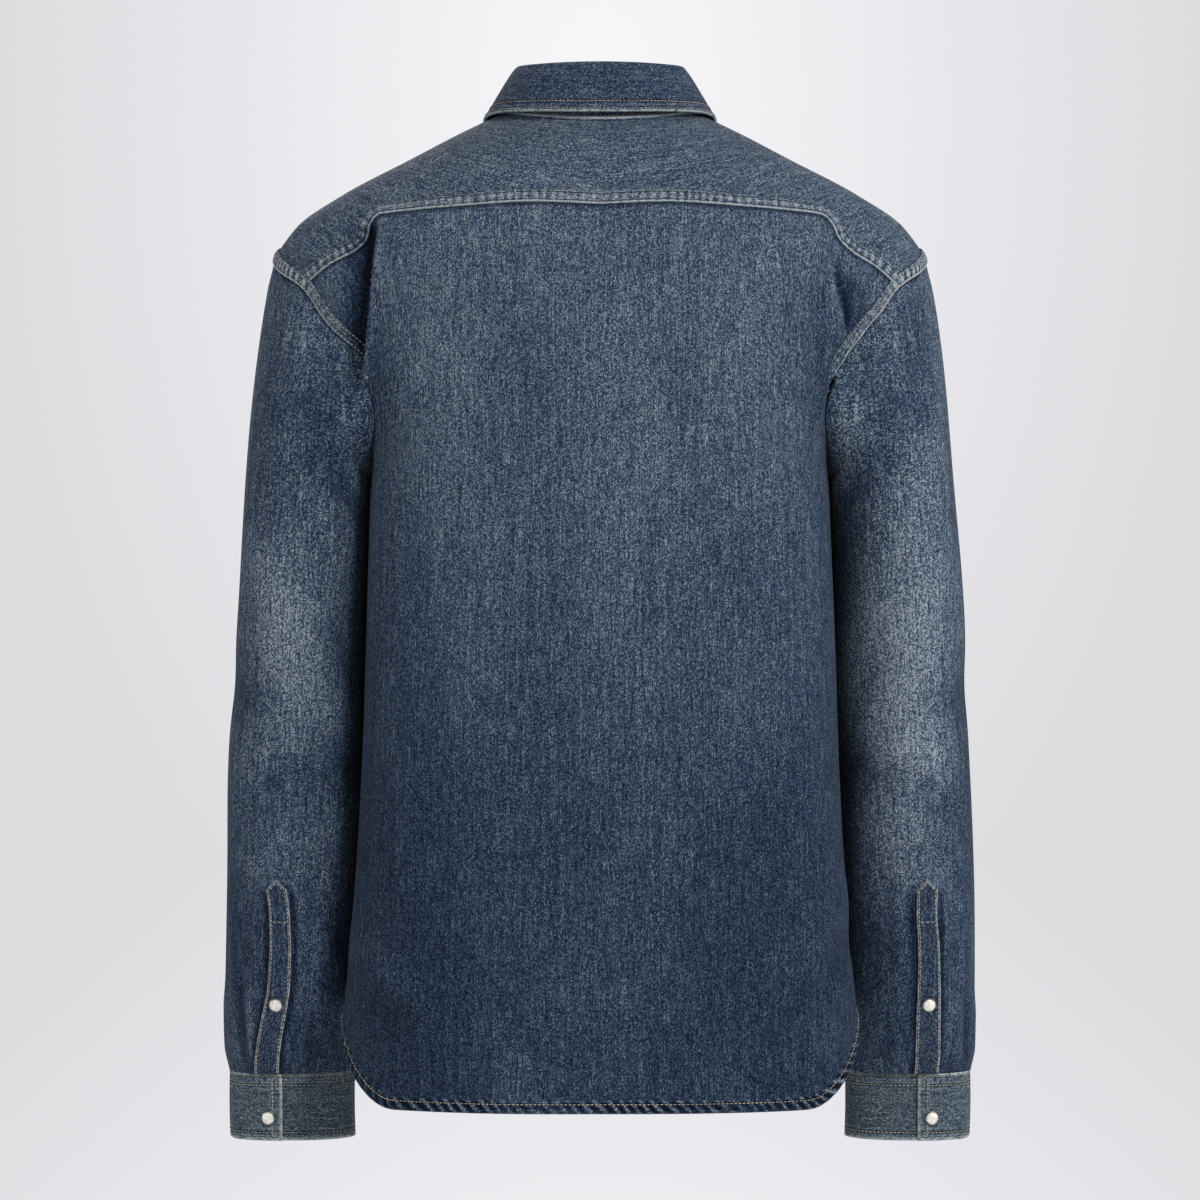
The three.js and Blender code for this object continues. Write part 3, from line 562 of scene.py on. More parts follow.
def front_angle(down, x):
    return CENTRE_FRONT + np.arctan2(x, body["front"](down))


def front_map(edge_x):
    """Left front from its edge at edge_x, past the centre line, out to the side seam."""

    def outer(b):
        angle, down = armhole(np.array(FRONT_SEAM_TURN))
        t = b / FRONT_YOKE
        below = side_edge(FRONT_SEAM_TURN, b, FRONT_YOKE, FRONT_UNDER)
        on_yoke = b < FRONT_YOKE
        angle = np.where(on_yoke, lerp(FRONT_SEAM_ANGLE, angle, t), below[0])
        return angle, np.where(on_yoke, down * t, below[1])

    def centre(b):
        down = hem_down(CENTRE_FRONT) * b
        return front_angle(down, edge_x), down

    def top(a):
        return lerp(centre(np.array(0.0))[0], FRONT_SEAM_ANGLE, a), 0 * a

    def bottom(a):
        angle = lerp(centre(np.array(1.0))[0], 0, a)
        return angle, hem_down(angle)

    return patch(top, bottom, centre, outer)


def sleeve_section(turn, along):
    """Plain tube of the left sleeve. turn: 0 on its outer side, a quarter turn at the back."""
    c, s = np.cos(turn), np.sin(turn)
    out, inside = arm["out"](along), arm["inside"](along)
    z_out, z_in = arm["zOut"](along), arm["zIn"](along)
    reach = reach_of(c, s, SLEEVE_SQUARE)
    depth = np.where(s >= 0, arm["back"](along), arm["front"](along))
    return stack(
        (out + inside) / 2 + (out - inside) / 2 * c * reach,
        arm["yMid"](along) + depth * s * reach,
        (z_out + z_in) / 2 + (z_out - z_in) / 2 * c * reach,
    )


def sleeve_relief(side, turn, along):
    """Height of one sleeve's dents, creases and slow unevenness. Nothing moves at the armhole, and less
    towards the cuff.
    """
    degrees = np.mod(turn / DEGREE, 360)
    total = 0
    for dent in SLEEVE_DENTS:
        across = (np.mod(degrees - dent["turn"] + 180, 360) - 180) * 0.95
        on_line = along - dent["at"] - dent["slant"] * across
        total = total - dent["depth"] * bell(across / dent["width"]) * bell(on_line / (dent["spread"] / 2))
    names = ("turn1", "along1", "turn2", "along2")
    total = total + creases(SLEEVE_CREASES[side], names, degrees, along)
    shift = 0.0 if side == "left" else 1.7
    wave = 0.6 * np.sin(2 * turn + along / 47 + shift) + 0.45 * np.sin(3 * turn - along / 31 + 2 * shift)
    keep = smooth(along / 30) * smooth((SLEEVE_END + 25 - along) / 40)
    return (total + wave) * keep


# The armhole of the draped body, looked up by its turn: place and outward normal
LOOP_TURNS = steps(720, -math.pi, math.pi)
LOOP_POINTS = BODY.point(*armhole(LOOP_TURNS))
LOOP_NORMALS = BODY.normal(*armhole(LOOP_TURNS))


def looked_up(values, turn):
    """Values of the armhole at any turn."""
    turn = np.arctan2(np.sin(turn), np.cos(turn))
    return stack(*[np.interp(turn, LOOP_TURNS, values[:, k]) for k in range(3)])


def sleeve_form(turn, along):
    """Left sleeve, that starts on the body's armhole and eases into its plain tube."""
    point = sleeve_section(turn, along)
    inside = ((1 - np.cos(turn)) / 2) ** 2
    fade = 1 - smooth(along / lerp(ARMHOLE_FADE["outside"], ARMHOLE_FADE["inside"], inside))
    step = lerp(ARMHOLE_STEP["outside"], ARMHOLE_STEP["inside"], inside)
    seam = looked_up(LOOP_POINTS, turn) + looked_up(LOOP_NORMALS, turn) * step[..., None]
    return point + (seam - sleeve_section(turn, 0 * along)) * fade[..., None]


sleeve_surface = Surface(sleeve_form, -1, 0, SLEEVE_END, step_a=5e-3)


def sleeve_cloth(side):
    """Point function of one sleeve in its own left-hand place."""

    def point(turn, along):
        return sleeve_surface.lifted(turn, along, sleeve_relief(side, turn, along))

    return point


def mirrored(point):
    def other(a, b):
        return point(a, b) * np.array([-1, 1, 1])

    return other


def on_side(side, point, facing, *limits, **steps_used):
    """Surface of a piece of one arm, modelled on the left one."""
    if side == "left":
        return Surface(point, facing, *limits, **steps_used)
    return Surface(mirrored(point), -facing, *limits, **steps_used)


SLEEVES = {
    side: on_side(side, sleeve_cloth(side), -1, 0, SLEEVE_END, step_a=5e-3)
    for side in SIDES
}

# Cuff: once round and on over its own end
CUFF_START = 40 * DEGREE
CUFF = {"halfX": 47, "depth": 34, "x": 231, "y": -26, "zTop": -714.3, "lean": -5, "square": 2.2}
CUFF_TURN = CUFF_OVERLAP / CUFF["depth"]
CUFF_END = CUFF_START + FULL_TURN + CUFF_TURN


def cuff_form(turn, down):
    """Left cuff, whose last stretch lies over its start. down: from 0 at its top to 1."""
    over = smooth((turn - CUFF_START - FULL_TURN + 0.35) / 0.3) * (STIFF_WALL + LAY_GAP)
    c, s = np.cos(turn), np.sin(turn)
    reach = reach_of(c, s, CUFF["square"])
    wave = 0.5 * np.sin(3 * turn + 1) * np.sin(math.pi * down)
    return stack(
        CUFF["x"] + (CUFF["halfX"] + over + wave) * c * reach,
        CUFF["y"] + CUFF["lean"] * down + (CUFF["depth"] + over + wave) * s * reach,
        CUFF["zTop"] - CUFF_HEIGHT * down,
    )


CUFFS = {side: on_side(side, cuff_form, -1, 0, 1, step_b=1e-3) for side in SIDES}

SLEEVE_PLACKET = {"half": 8.2, "top": 470, "point": 8}
PLACKET_LINE = table(
    "along left right",
    [
        (460, 79, 78),
        (489, 84, 78.5),
        (515, 85, 77),
        (543, 83.6, 77),
        (568, 78.5, 77.5),
        (590, 73.5, 77),
        (611, 70, 76.5),
    ],
)
placket_line = columns(PLACKET_LINE, "along")


def sleeve_placket_form(side):
    """Strip over the slit above the cuff. across: from -1 to 1, with a pointed top."""
    lifted = on_side("left", sleeve_cloth(side), -1, 0, SLEEVE_END, step_a=5e-3).lifted

    def point(across, along):
        share = (along - SLEEVE_PLACKET["top"]) / (SLEEVE_END - SLEEVE_PLACKET["top"])
        peak = SLEEVE_PLACKET["point"] * (1 - np.abs(across)) * (1 - smooth(share * 12))
        mm_per_turn = lerp(58, 44, smooth(share))
        turn = placket_line[side](along) * DEGREE - across * SLEEVE_PLACKET["half"] / mm_per_turn
        pulled = 0.35 * np.sin(along / 4.1 + 1.3 * across) * (1 - across**2)
        return lifted(turn, along - peak, LAY_GAP + PLACKET_LAYERS + pulled)

    return point


SLEEVE_PLACKETS = {
    side: on_side(side, sleeve_placket_form(side), 1, SLEEVE_PLACKET["top"], SLEEVE_END, step_a=1e-2)
    for side in SIDES
}


def stand_form(angle, up):
    """Collar stand, that rises from the neck seam. up: 0 at the seam, 1 at the fold of the collar."""
    across = np.cos(angle) ** 2
    behind = np.sin(angle) >= 0
    rise = lerp(np.where(behind, STAND["back"][0], STAND["front"][0]), STAND["side"][0], across)
    lean = lerp(np.where(behind, STAND["back"][1], STAND["front"][1]), STAND["side"][1], across)
    base = torso(angle, 0 * up)
    inward = stack(-np.cos(angle), -np.sin(angle), 0 * up)
    lift = stack(0 * up, 0 * up, STAND_LIFT + rise * up)
    return base + inward * (lean * up)[..., None] + lift


stand_plain = Surface(stand_form, 1, -1, 2, step_b=1e-3)


def stand_step(from_centre):
    """The left end of the stand lies over the right one, and the collar passes over both."""
    return (STIFF_WALL + LAY_GAP) * (1 - smooth((from_centre - 0.2) / 0.1))


def stand_lapped(angle, up):
    return stand_plain.lifted(angle, up, stand_step(angle - CENTRE_FRONT))


STAND_CLOTH = Surface(stand_lapped, 1, 0, 1, step_b=1e-3)

COLLAR_EDGE = table(
    "angle down lift",
    [
        (-64, 58, 3),
        (-45, 40, 2.8),
        (-20, 19, 3.2),
        (5, 10, 3.8),
        (40, 7, 7.5),
        (66, 4.5, 9),
        (90, 3.5, 9.5),
    ],
)
collar_edge = columns(COLLAR_EDGE, "angle")
COLLAR_FOLD_END = -81
COLLAR_ROLL = 8


def collar_form(share, over):
    """Leaf of the collar. share: from one point round the neck to the other. over: from its seam on the
    stand, over its fold, to its free edge."""
    folded = np.minimum(share, 1 - share)
    fold_angle = lerp(COLLAR_FOLD_END, 90, folded * 2) * DEGREE
    edge_degrees = lerp(COLLAR_EDGE[0]["angle"], 90, folded * 2)
    one = np.ones_like(fold_angle)
    seam = stand_lapped(fold_angle, one) + np.array([0, 0, STAND_LIFT])
    down, lift = collar_edge["down"](edge_degrees), collar_edge["lift"](edge_degrees)
    free = plain_torso.lifted(edge_degrees * DEGREE, down, lift)
    out = stack(np.cos(fold_angle), np.sin(fold_angle), 0 * fold_angle)
    top = seam + out * 0.5 + np.array([0, 0, COLLAR_ROLL])
    shoulder = lerp(seam, free, 0.3) + out * 1.5 + np.array([0, 0, 5])
    t = np.asarray(over)[..., None]
    k = 1 - t
    point = k**3 * seam + 3 * k * k * t * top + 3 * k * t * t * shoulder + t**3 * free
    flip = np.where(share > 0.5, -1.0, 1.0)[..., None] * np.array([1, 0, 0]) + np.array([0, 1, 1])
    return point * flip


COLLAR = Surface(collar_form, -1, 0, 1, step_a=5e-4, step_b=5e-4)


def placket_form(x, down):
    """Front placket, x mm beside the centre line."""
    angle = front_angle(down, x)
    return BODY.lifted(angle, down, LAY_GAP + PANEL_WALL + 0 * x)


PLACKET_TOP = 5
PLACKET_BOTTOM = float(hem_down(CENTRE_FRONT))
PLACKET = Surface(placket_form, -1, PLACKET_TOP, PLACKET_BOTTOM, step_a=0.1)


# Colours and materials


def srgb(code):
    """Linear colour of an sRGB hex value."""
    parts = [int(code[i : i + 2], 16) / 255 for i in (0, 2, 4)]
    return tuple(c / 12.92 if c <= 0.04045 else ((c + 0.055) / 1.055) ** 2.4 for c in parts) + (1,)


def new_material(name):
    material = bpy.data.materials.new(name)
    material.use_nodes = True
    tree = material.node_tree
    return material, tree, tree.nodes["Principled BSDF"]


def set_constants(shader, values):
    for key, value in values.items():
        shader.inputs[key].default_value = value


def node(tree, kind, inputs=None, output=0, stops=(), **settings):
    """Adds a node and gives one of its outputs. inputs: values or nodes' outputs, by name or number."""
    made = tree.nodes.new("ShaderNode" + kind)
    for key, value in settings.items():
        setattr(made, key, value)
    for key, value in (inputs or {}).items():
        if isinstance(value, bpy.types.NodeSocket):
            tree.links.new(value, made.inputs[key])
        else:
            made.inputs[key].default_value = value
    for number, (place, code) in enumerate(stops):
        elements = made.color_ramp.elements
        element = elements[number] if number < len(elements) else elements.new(place)
        element.position = place
        element.color = srgb(code)
    return made.outputs[output]


# Patterns in the cloth: size of one across and along the warp in mm, and how much it changes the tone.
# A warp thread is 0.5 mm wide, too fine to show, so the grain is drawn 0.8 mm wide and its floats 0.7 mm.
# The rub and the weft have no strength of their own: they shape the worn edges and the warmer specks.
PATTERNS = table(
    "name across along detail rough strength",
    [
        ("grain", 0.8, 1.1, 2.0, 0.7, 0.9),
        ("slub", 1.3, 18, 2.0, 0.7, 0.6),
        ("long_slub", 3.2, 110, 2.0, 0.7, 0.32),
        ("cloud", 11, 14, 2.0, 0.7, 0.08),
        ("blotch", 45, 80, 3.0, 0.7, 0.14),
        ("rub", 4, 5, 3.0, 0.6, 0),
        ("weft", 1.6, 2.4, 1.0, 0.5, 0),
    ],
)
FLOAT_SIZE = (0.7, 1.0)  # one warp thread between two wefts
FLOAT_STRENGTH = 0.5
TWILL_PITCH = 1.3  # a real twill line every 0.9 mm would not show
TWILL_SLANT = 0.95
TWILL_STRENGTH = 0.16
WARM_WEFT = "fff1dc"


def denim(name, stops, shown=1.0):
    """Washed ring-spun denim: indigo warp over pale weft in a twill, so it looks salt and pepper up close,
    with thicker slubs as streaks along the warp, and paler where the wash and wear rubbed it. Its tone also
    carries painted light and shade."""
    material, tree, shader = new_material(name)
    cloth = node(tree, "UVMap", uv_map="cloth")
    # fade: how pale each point is, by its fading and in part by painted light and shade
    tone = node(tree, "Attribute", output="Fac", attribute_name="fade")
    wear = node(tree, "Attribute", output="Fac", attribute_name="wear")
    marks = {}
    for row in PATTERNS:
        scale = (1000 / row["across"], 1000 / row["along"], 1)
        place = node(tree, "Mapping", {"Vector": cloth, "Scale": scale})
        settings = {"Scale": 1.0, "Detail": row["detail"], "Roughness": row["rough"]}
        marks[row["name"]] = node(tree, "TexNoise", {"Vector": place, **settings})
    cell = (FLOAT_SIZE[0] * MM, FLOAT_SIZE[1] * MM, 1)
    cells = node(tree, "VectorMath", {0: cloth, 1: cell}, operation="SNAP")
    floats = node(tree, "TexWhiteNoise", {"Vector": cells}, output="Value", noise_dimensions="2D")
    slant = {"Scale": (1000, 1000, 1), "Rotation": (0, 0, TWILL_SLANT)}
    slanted = node(tree, "Mapping", {"Vector": cloth, **slant})
    twill = node(
        tree,
        "TexWave",
        {"Vector": slanted, "Scale": 0.5 / TWILL_PITCH, "Distortion": 1.2, "Detail": 2.0},
        output="Fac",
        wave_type="BANDS",
        bands_direction="X",
    )
    changes = [(marks[row["name"]], row["strength"]) for row in PATTERNS if row["strength"]]
    for mark, strength in (*changes, (floats, FLOAT_STRENGTH), (twill, TWILL_STRENGTH)):
        centred = node(tree, "Math", {0: mark, 1: 0.5}, operation="SUBTRACT")
        inputs = {0: centred, 1: strength * shown, 2: tone}
        tone = node(tree, "Math", inputs, operation="MULTIPLY_ADD")
    rubbed = node(tree, "Math", {0: marks["rub"], 1: 1.7, 2: -0.3}, operation="MULTIPLY_ADD")
    tone = node(tree, "Math", {0: wear, 1: rubbed, 2: tone}, operation="MULTIPLY_ADD", use_clamp=True)
    colour = node(tree, "ValToRGB", {0: tone}, stops=stops)
    specks = {0: marks["weft"], 1: 4.0, 2: -1.8}
    warm = node(tree, "Math", specks, operation="MULTIPLY_ADD", use_clamp=True)
    tinted = node(
        tree,
        "Mix",
        {0: warm, 6: colour, 7: srgb(WARM_WEFT)},
        output=2,
        data_type="RGBA",
        blend_type="MULTIPLY",
    )
    tree.links.new(tinted, shader.inputs["Base Color"])
    height = node(tree, "Math", {0: marks["slub"], 1: marks["grain"]}, operation="ADD")
    height = node(tree, "Math", {0: twill, 1: 0.5, 2: height}, operation="MULTIPLY_ADD")
    bump = node(tree, "Bump", {"Height": height, "Strength": 0.55, "Distance": 0.0002})
    tree.links.new(bump, shader.inputs["Normal"])
    rough = node(tree, "Math", {0: marks["grain"], 1: 0.12, 2: 0.84}, operation="MULTIPLY_ADD")
    tree.links.new(rough, shader.inputs["Roughness"])
    set_constants(shader, {"Specular IOR Level": 0.07, "Sheen Weight": 0.03, "Sheen Roughness": 0.5})
    return material


INDIGO = [(0, "060b14"), (0.3, "162439"), (0.6, "38495d"), (1, "8f9aa2")]
GREY_INDIGO = [(0, "070b12"), (0.3, "1a2633"), (0.6, "404f5b"), (1, "98a3a8")]
PALE_WEFT = [(0, "3a4654"), (0.4, "66727d"), (0.7, "8c959b"), (1, "b9bdbd")]
OUTSIDE = denim("washed_indigo_denim", INDIGO)
GREYED = denim("rubbed_grey_denim", GREY_INDIGO, 0.8)
INSIDE = denim("denim_weft_side", PALE_WEFT, 0.7)


def sewing_thread(name, light, dark):
    """Spun polyester core thread, dyed: rough, with its twist as fine slanting bumps and bands of painted
    shade, dulled by the wash.
    """
    material, tree, shader = new_material(name)
    place = node(tree, "TexCoord", output="Object")
    patchy = node(tree, "TexNoise", {"Vector": place, "Scale": 60.0, "Detail": 3.0})
    # The twist is a band every 1.1 mm, coarser than the real 0.5 mm
    twist = node(
        tree,
        "TexWave",
        {"Vector": place, "Scale": 900.0},
        output="Fac",
        wave_type="BANDS",
        bands_direction="DIAGONAL",
    )
    centred = node(tree, "Math", {0: twist, 1: 0.5}, operation="SUBTRACT")
    # The twist's bands darken the colour as painted shade; the patches are random tone
    tone = node(tree, "Math", {0: centred, 1: 0.25, 2: patchy}, operation="MULTIPLY_ADD")
    colour = node(tree, "ValToRGB", {0: tone}, stops=[(0.25, dark), (0.75, light)])
    tree.links.new(colour, shader.inputs["Base Color"])
    bump = node(tree, "Bump", {"Height": twist, "Strength": 0.4, "Distance": 0.0001})
    tree.links.new(bump, shader.inputs["Normal"])
    set_constants(shader, {"Roughness": 0.75, "Specular IOR Level": 0.2})
    return material


TAN_THREAD = sewing_thread("washed_tan_thread", "b3a691", "6d6458")
BROWN_THREAD = sewing_thread("washed_brown_thread", "4a4238", "171515")


def pearl():
    """Pearl snap cap: polyester resin with a pearl pigment, cast and polished, so it is glossy with
    soft clouds."""
    material, tree, shader = new_material("cast_pearl_resin")
    place = node(tree, "TexCoord", output="Object")
    # Clouds about 2.4 mm across, on a cap of 9 mm
    clouds = node(tree, "TexNoise", {"Vector": place, "Scale": 420.0, "Detail": 3.0, "Distortion": 1.4})
    colour = node(tree, "ValToRGB", {0: clouds}, stops=[(0.3, "b4b2a6"), (0.5, "d6d5cb"), (0.7, "ecebe4")])
    tree.links.new(colour, shader.inputs["Base Color"])
    rough = node(tree, "Math", {0: clouds, 1: 0.12, 2: 0.16}, operation="MULTIPLY_ADD")
    tree.links.new(rough, shader.inputs["Roughness"])
    glow = {"Subsurface Weight": 0.1, "Subsurface Radius": (0.002, 0.002, 0.0015)}
    set_constants(shader, {"Coat Weight": 0.5, "Coat Roughness": 0.12, **glow})
    return material


def rim_metal():
    """Rim of a snap: brass with a worn nickel plate, rolled and tumbled, so it is dull with fine marks."""
    material, tree, shader = new_material("nickel_plated_rim")
    place = node(tree, "TexCoord", output="Object")
    # Tumbling marks about 1 mm across
    marks = node(tree, "TexNoise", {"Vector": place, "Scale": 900.0, "Detail": 4.0})
    colour = node(tree, "ValToRGB", {0: marks}, stops=[(0.3, "5e5a54"), (0.7, "9a968d")])
    tree.links.new(colour, shader.inputs["Base Color"])
    rough = node(tree, "Math", {0: marks, 1: 0.25, 2: 0.28}, operation="MULTIPLY_ADD")
    tree.links.new(rough, shader.inputs["Roughness"])
    set_constants(shader, {"Metallic": 1.0})
    return material


PEARL = pearl()
RIM = rim_metal()


# Cloth pieces


# How pale the cloth is painted, by its fading and in part by painted light and shade: 0 is deep indigo and 1
# is nearly white
FADE_AND_PAINTED_LIGHT = {
    "body": 0.37,
    "upper": 0.165,  # added over the shoulders and the upper back, partly fading and partly painted light from above
    # Painted shade towards the body's flanks, a little less of it low down
    "sides": -0.12,
    "low_sides": 0.035,
    "relief": 0.03,  # added for each mm that a crease stands out: paler ridges from wear, darker troughs as painted shade
    "sleeve": 0.405,
    "upper_arm": 0.09,
    "elbow": 0.26,
    # The right sleeve painted paler as light from its side, and darker along its outer edge
    "right_sleeve": 0.03,
    "right_elbow": 0.07,
    "right_edge": -0.06,
    "stand": 0.46,
    "collar": 0.425,
    "cuff": 0.53,
    "sleeve_placket": 0.4,
    "front_placket": 0.04,  # added to the body's
}


def fade_and_painted_light_of_body(p):
    """How pale the body and yoke are painted: paler over the shoulders and upper back, partly fading and
    partly painted light from above; deep below; darker towards the flanks as painted shade; rubbed ridges,
    troughs darkened as painted shade, and a painted shadow line under the edge of each fold."""
    x, y, z = p[..., 0], p[..., 1], p[..., 2]
    upper = smooth((z + 600 - 0.12 * np.abs(x)) / 330)
    low = smooth((-z - 420) / 200)
    aside = smooth((np.abs(x) - 85) / 85) * smooth((-z - 120) / 120)
    sides = (FADE_AND_PAINTED_LIGHT["sides"] + FADE_AND_PAINTED_LIGHT["low_sides"] * low) * aside
    fade = FADE_AND_PAINTED_LIGHT["body"] + FADE_AND_PAINTED_LIGHT["upper"] * upper + sides + FADE_AND_PAINTED_LIGHT["relief"] * body_relief(p)
    for fold in FOLDS:
        off, lengthwise = fold_place(fold, x, z)
        # Painted shadow under each fold: a dark line beside its edge and shade over the hollow beyond it;
        # the edge itself rubbed paler
        shade = 0.3 * smooth(off / 3) * bell(off / 11)
        line = fold["deep"] * (bell((off - 1.8) / 1.7) + shade)
        ridge = 0.1 * bell((off + 2.2) / 2)
        fade = fade + (ridge - line) * lengthwise * smooth(y / 60)
    return fade


def fade_and_painted_light_of_sleeve(p):
    """Pale at the upper arm and paler at the elbow, deep below it. The right one is painted a little paler,
    as painted light from its side, and darker along its outer edge."""
    x, y, z = np.abs(p[..., 0]), p[..., 1], p[..., 2]
    elbow = bell((z + 433) / 82) * bell((x - 226) / 30) * smooth((y + 10) / 50)
    fade = FADE_AND_PAINTED_LIGHT["sleeve"] + FADE_AND_PAINTED_LIGHT["upper_arm"] * smooth((z + 400) / 200) + FADE_AND_PAINTED_LIGHT["elbow"] * elbow
    edge = smooth((x - 246) / 26) * smooth((-z - 130) / 60)
    right = FADE_AND_PAINTED_LIGHT["right_sleeve"] + FADE_AND_PAINTED_LIGHT["right_elbow"] * elbow + FADE_AND_PAINTED_LIGHT["right_edge"] * edge
    return fade + np.where(p[..., 0] < 0, right, 0)


def read_vectors(items, key):
    """One vector of each of a mesh's items, as rows."""
    flat = np.empty(len(items) * 3)
    items.foreach_get(key, flat)
    return flat.reshape(-1, 3)


def finished_mesh(bm, name):
    """The mesh of a bmesh, which is freed."""
    mesh = bpy.data.meshes.new(name)
    bm.to_mesh(mesh)
    bm.free()
    return mesh


def add_object(name, data):
    """An object in the scene, at the origin."""
    thing = bpy.data.objects.new(name, data)
    bpy.context.scene.collection.objects.link(thing)
    return thing


def across_and_down(points):
    """Lengths in mm across and down a grid of points, across measured from its middle column."""
    across = np.linalg.norm(np.diff(points, axis=1), axis=2)
    down = np.linalg.norm(np.diff(points, axis=0), axis=2)
    u = np.concatenate([np.zeros((len(points), 1)), np.cumsum(across, axis=1)], axis=1)
    v = np.concatenate([np.zeros((1, points.shape[1])), np.cumsum(down, axis=0)], axis=0)
    return u - u[:, [points.shape[1] // 2]], v


def cut_of(points):
    """Widest row, longest column and area of a grid of points, in metres."""
    across = np.diff(points, axis=1)
    down = np.diff(points, axis=0)
    width = np.linalg.norm(across, axis=2).sum(axis=1).max()
    length = np.linalg.norm(down, axis=2).sum(axis=0).max()
    cells = np.linalg.norm(np.cross(across[:-1], down[:, :-1]), axis=2)
    return width * MM, length * MM, cells.sum() * MM * MM


def grid_mesh(name, wide, tall):
    """A grid's mesh, and the column and the row of each of its points."""
    bm = bmesh.new()
    bmesh.ops.create_grid(bm, x_segments=wide - 1, y_segments=tall - 1, size=0.5)
    mesh = finished_mesh(bm, name)
    flat = read_vectors(mesh.vertices, "co")
    i = np.rint((flat[:, 0] + 0.5) * (wide - 1)).astype(int)
    j = np.rint((flat[:, 1] + 0.5) * (tall - 1)).astype(int)
    return mesh, i, j


def sewn_groove(from_edge, sewn):
    """How far rows of stitches pull the cloth into a groove, 0 to 1, and how pale the groove's lips are."""
    groove, lips = 0, 0
    for edge, rows in sewn.items():
        for row in rows:
            away = from_edge[edge] - row
            groove = np.maximum(groove, bell(away / 0.8))
            lips = lips + 0.12 * bell((away + 1.7) / 0.7) + 0.08 * bell((away - 1.8) / 0.8)
    return groove, lips


GROOVE_DEPTH = 0.3
GROOVE_SHADE_TONE = 0.28
BAND_SHADOW_TONE = 0.3
BAND_SHADOW_WIDTH = 1.6
WORN_WIDTH = 1.2


def cloth_piece(
    name,
    columns_at,
    rows_at,
    place,
    facing,
    look,
    wall=PANEL_WALL,
    grain="down",
    worn="",
    closed=False,
    lay=None,
    tone=None,
    sewn=None,
    deep="",
    outside=OUTSIDE,
):
    """A grid of points placed on a surface, with a wall behind it.

    place(a, b): points in mm. facing(a, b): their outward normals. look: how pale it is painted, by its
    fading and in part by painted light and shade, the same all over or look(points). worn: which edges are
    rubbed pale, of t, b, s and e for top,
    bottom, start and end. closed: the last column meets the first. lay(a, b): lengths across and along the
    cloth's threads, where they aren't those of the grid. tone(a, b): what is added to its fade. sewn: for an
    edge, how far in its rows of stitches pull a groove, which is painted darker as shade. deep: edges beside
    a band, darkened by a painted shadow line."""
    columns_at, rows_at = np.asarray(columns_at, float), np.asarray(rows_at, float)
    mesh, i, j = grid_mesh(name, len(columns_at), len(rows_at))
    a, b = np.meshgrid(columns_at, rows_at)
    points = place(a, b)
    across, down = across_and_down(points) if lay is None else (a, b)
    u, v = (across, down) if lay is None else lay(a, b)
    from_edge = {
        "t": down - down[0],
        "b": down[-1] - down,
        "s": across - across[:, [0]],
        "e": across[:, [-1]] - across,
    }
    fade = look(points) if callable(look) else look
    if tone:
        fade = fade + tone(a, b)
    # Painted shadow: a dark line along each edge that lies beside a band
    for edge in deep:
        fade = fade - BAND_SHADOW_TONE * bell(from_edge[edge] / BAND_SHADOW_WIDTH)
    if sewn:
        groove, lips = sewn_groove(from_edge, sewn)
        # The groove is painted darker as shade; its lips are paler from wear
        fade = fade + lips - GROOVE_SHADE_TONE * groove
        points = points - facing(a, b) * GROOVE_DEPTH * groove[..., None]
    fade = np.broadcast_to(fade, points.shape[:2])
    wear = np.zeros(points.shape[:2])
    for edge in worn:
        wear = np.maximum(wear, bell(from_edge[edge] / WORN_WIDTH))

    mesh.vertices.foreach_set("co", (points[j, i] * MM).ravel())
    mesh.update()
    if grain == "across":
        u, v = v, u
    loops = np.empty(len(mesh.loops), int)
    mesh.loops.foreach_get("vertex_index", loops)
    uv = np.stack([u[j, i], v[j, i]], axis=-1)[loops] * MM
    mesh.uv_layers.new(name="cloth").data.foreach_set("uv", uv.ravel())
    # fade holds the fading and the painted light and shade; wear holds the rubbed edges
    for key, values in (("fade", fade), ("wear", wear)):
        layer = mesh.attributes.new(key, "FLOAT", "POINT")
        layer.data.foreach_set("value", values[j, i].astype(np.float32))

    normals = read_vectors(mesh.vertices, "normal")
    some = np.arange(0, len(i), 97)
    outward = facing(a[j[some], i[some]], b[j[some], i[some]])
    if (normals[some] * outward).sum() < 0:
        mesh.flip_normals()
    if closed:
        bm = bmesh.new()
        bm.from_mesh(mesh)
        bmesh.ops.remove_doubles(bm, verts=bm.verts, dist=1e-6)
        bm.to_mesh(mesh)
        bm.free()
    mesh.shade_smooth()
    mesh.materials.append(outside)
    mesh.materials.append(INSIDE if wall == PANEL_WALL else outside)
    piece = add_object(name, mesh)
    solid = piece.modifiers.new("wall", "SOLIDIFY")
    solid.thickness = wall * MM
    solid.offset = -1
    solid.use_quality_normals = True
    solid.material_offset = 1
    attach(piece, "root")
    cut_of(points)
    return piece


def on(surface, mapping=None):
    """place and facing of cloth_piece for a stretch of a surface."""
    mapping = mapping or (lambda a, b: (a, b))
    return {
        "place": lambda a, b: surface.point(*mapping(a, b)),
        "facing": lambda a, b: surface.normal(*mapping(a, b)),
    }


def spaced(length, cell=CELL):
    """Shares from 0 to 1 for a stretch of about length mm."""
    return steps(max(2, round(length / cell)))


def flipped(mapping):
    """The mapping of a left piece, for the right one."""

    def other(a, b):
        angle, down = mapping(a, b)
        return mirror_angle(angle), down

    return other


SLEEVE_AXIS = {"top": 204, "low": 232, "from": 130, "over": 480}  # x at its top and end, and its drop
SLEEVE_RADIUS = 53


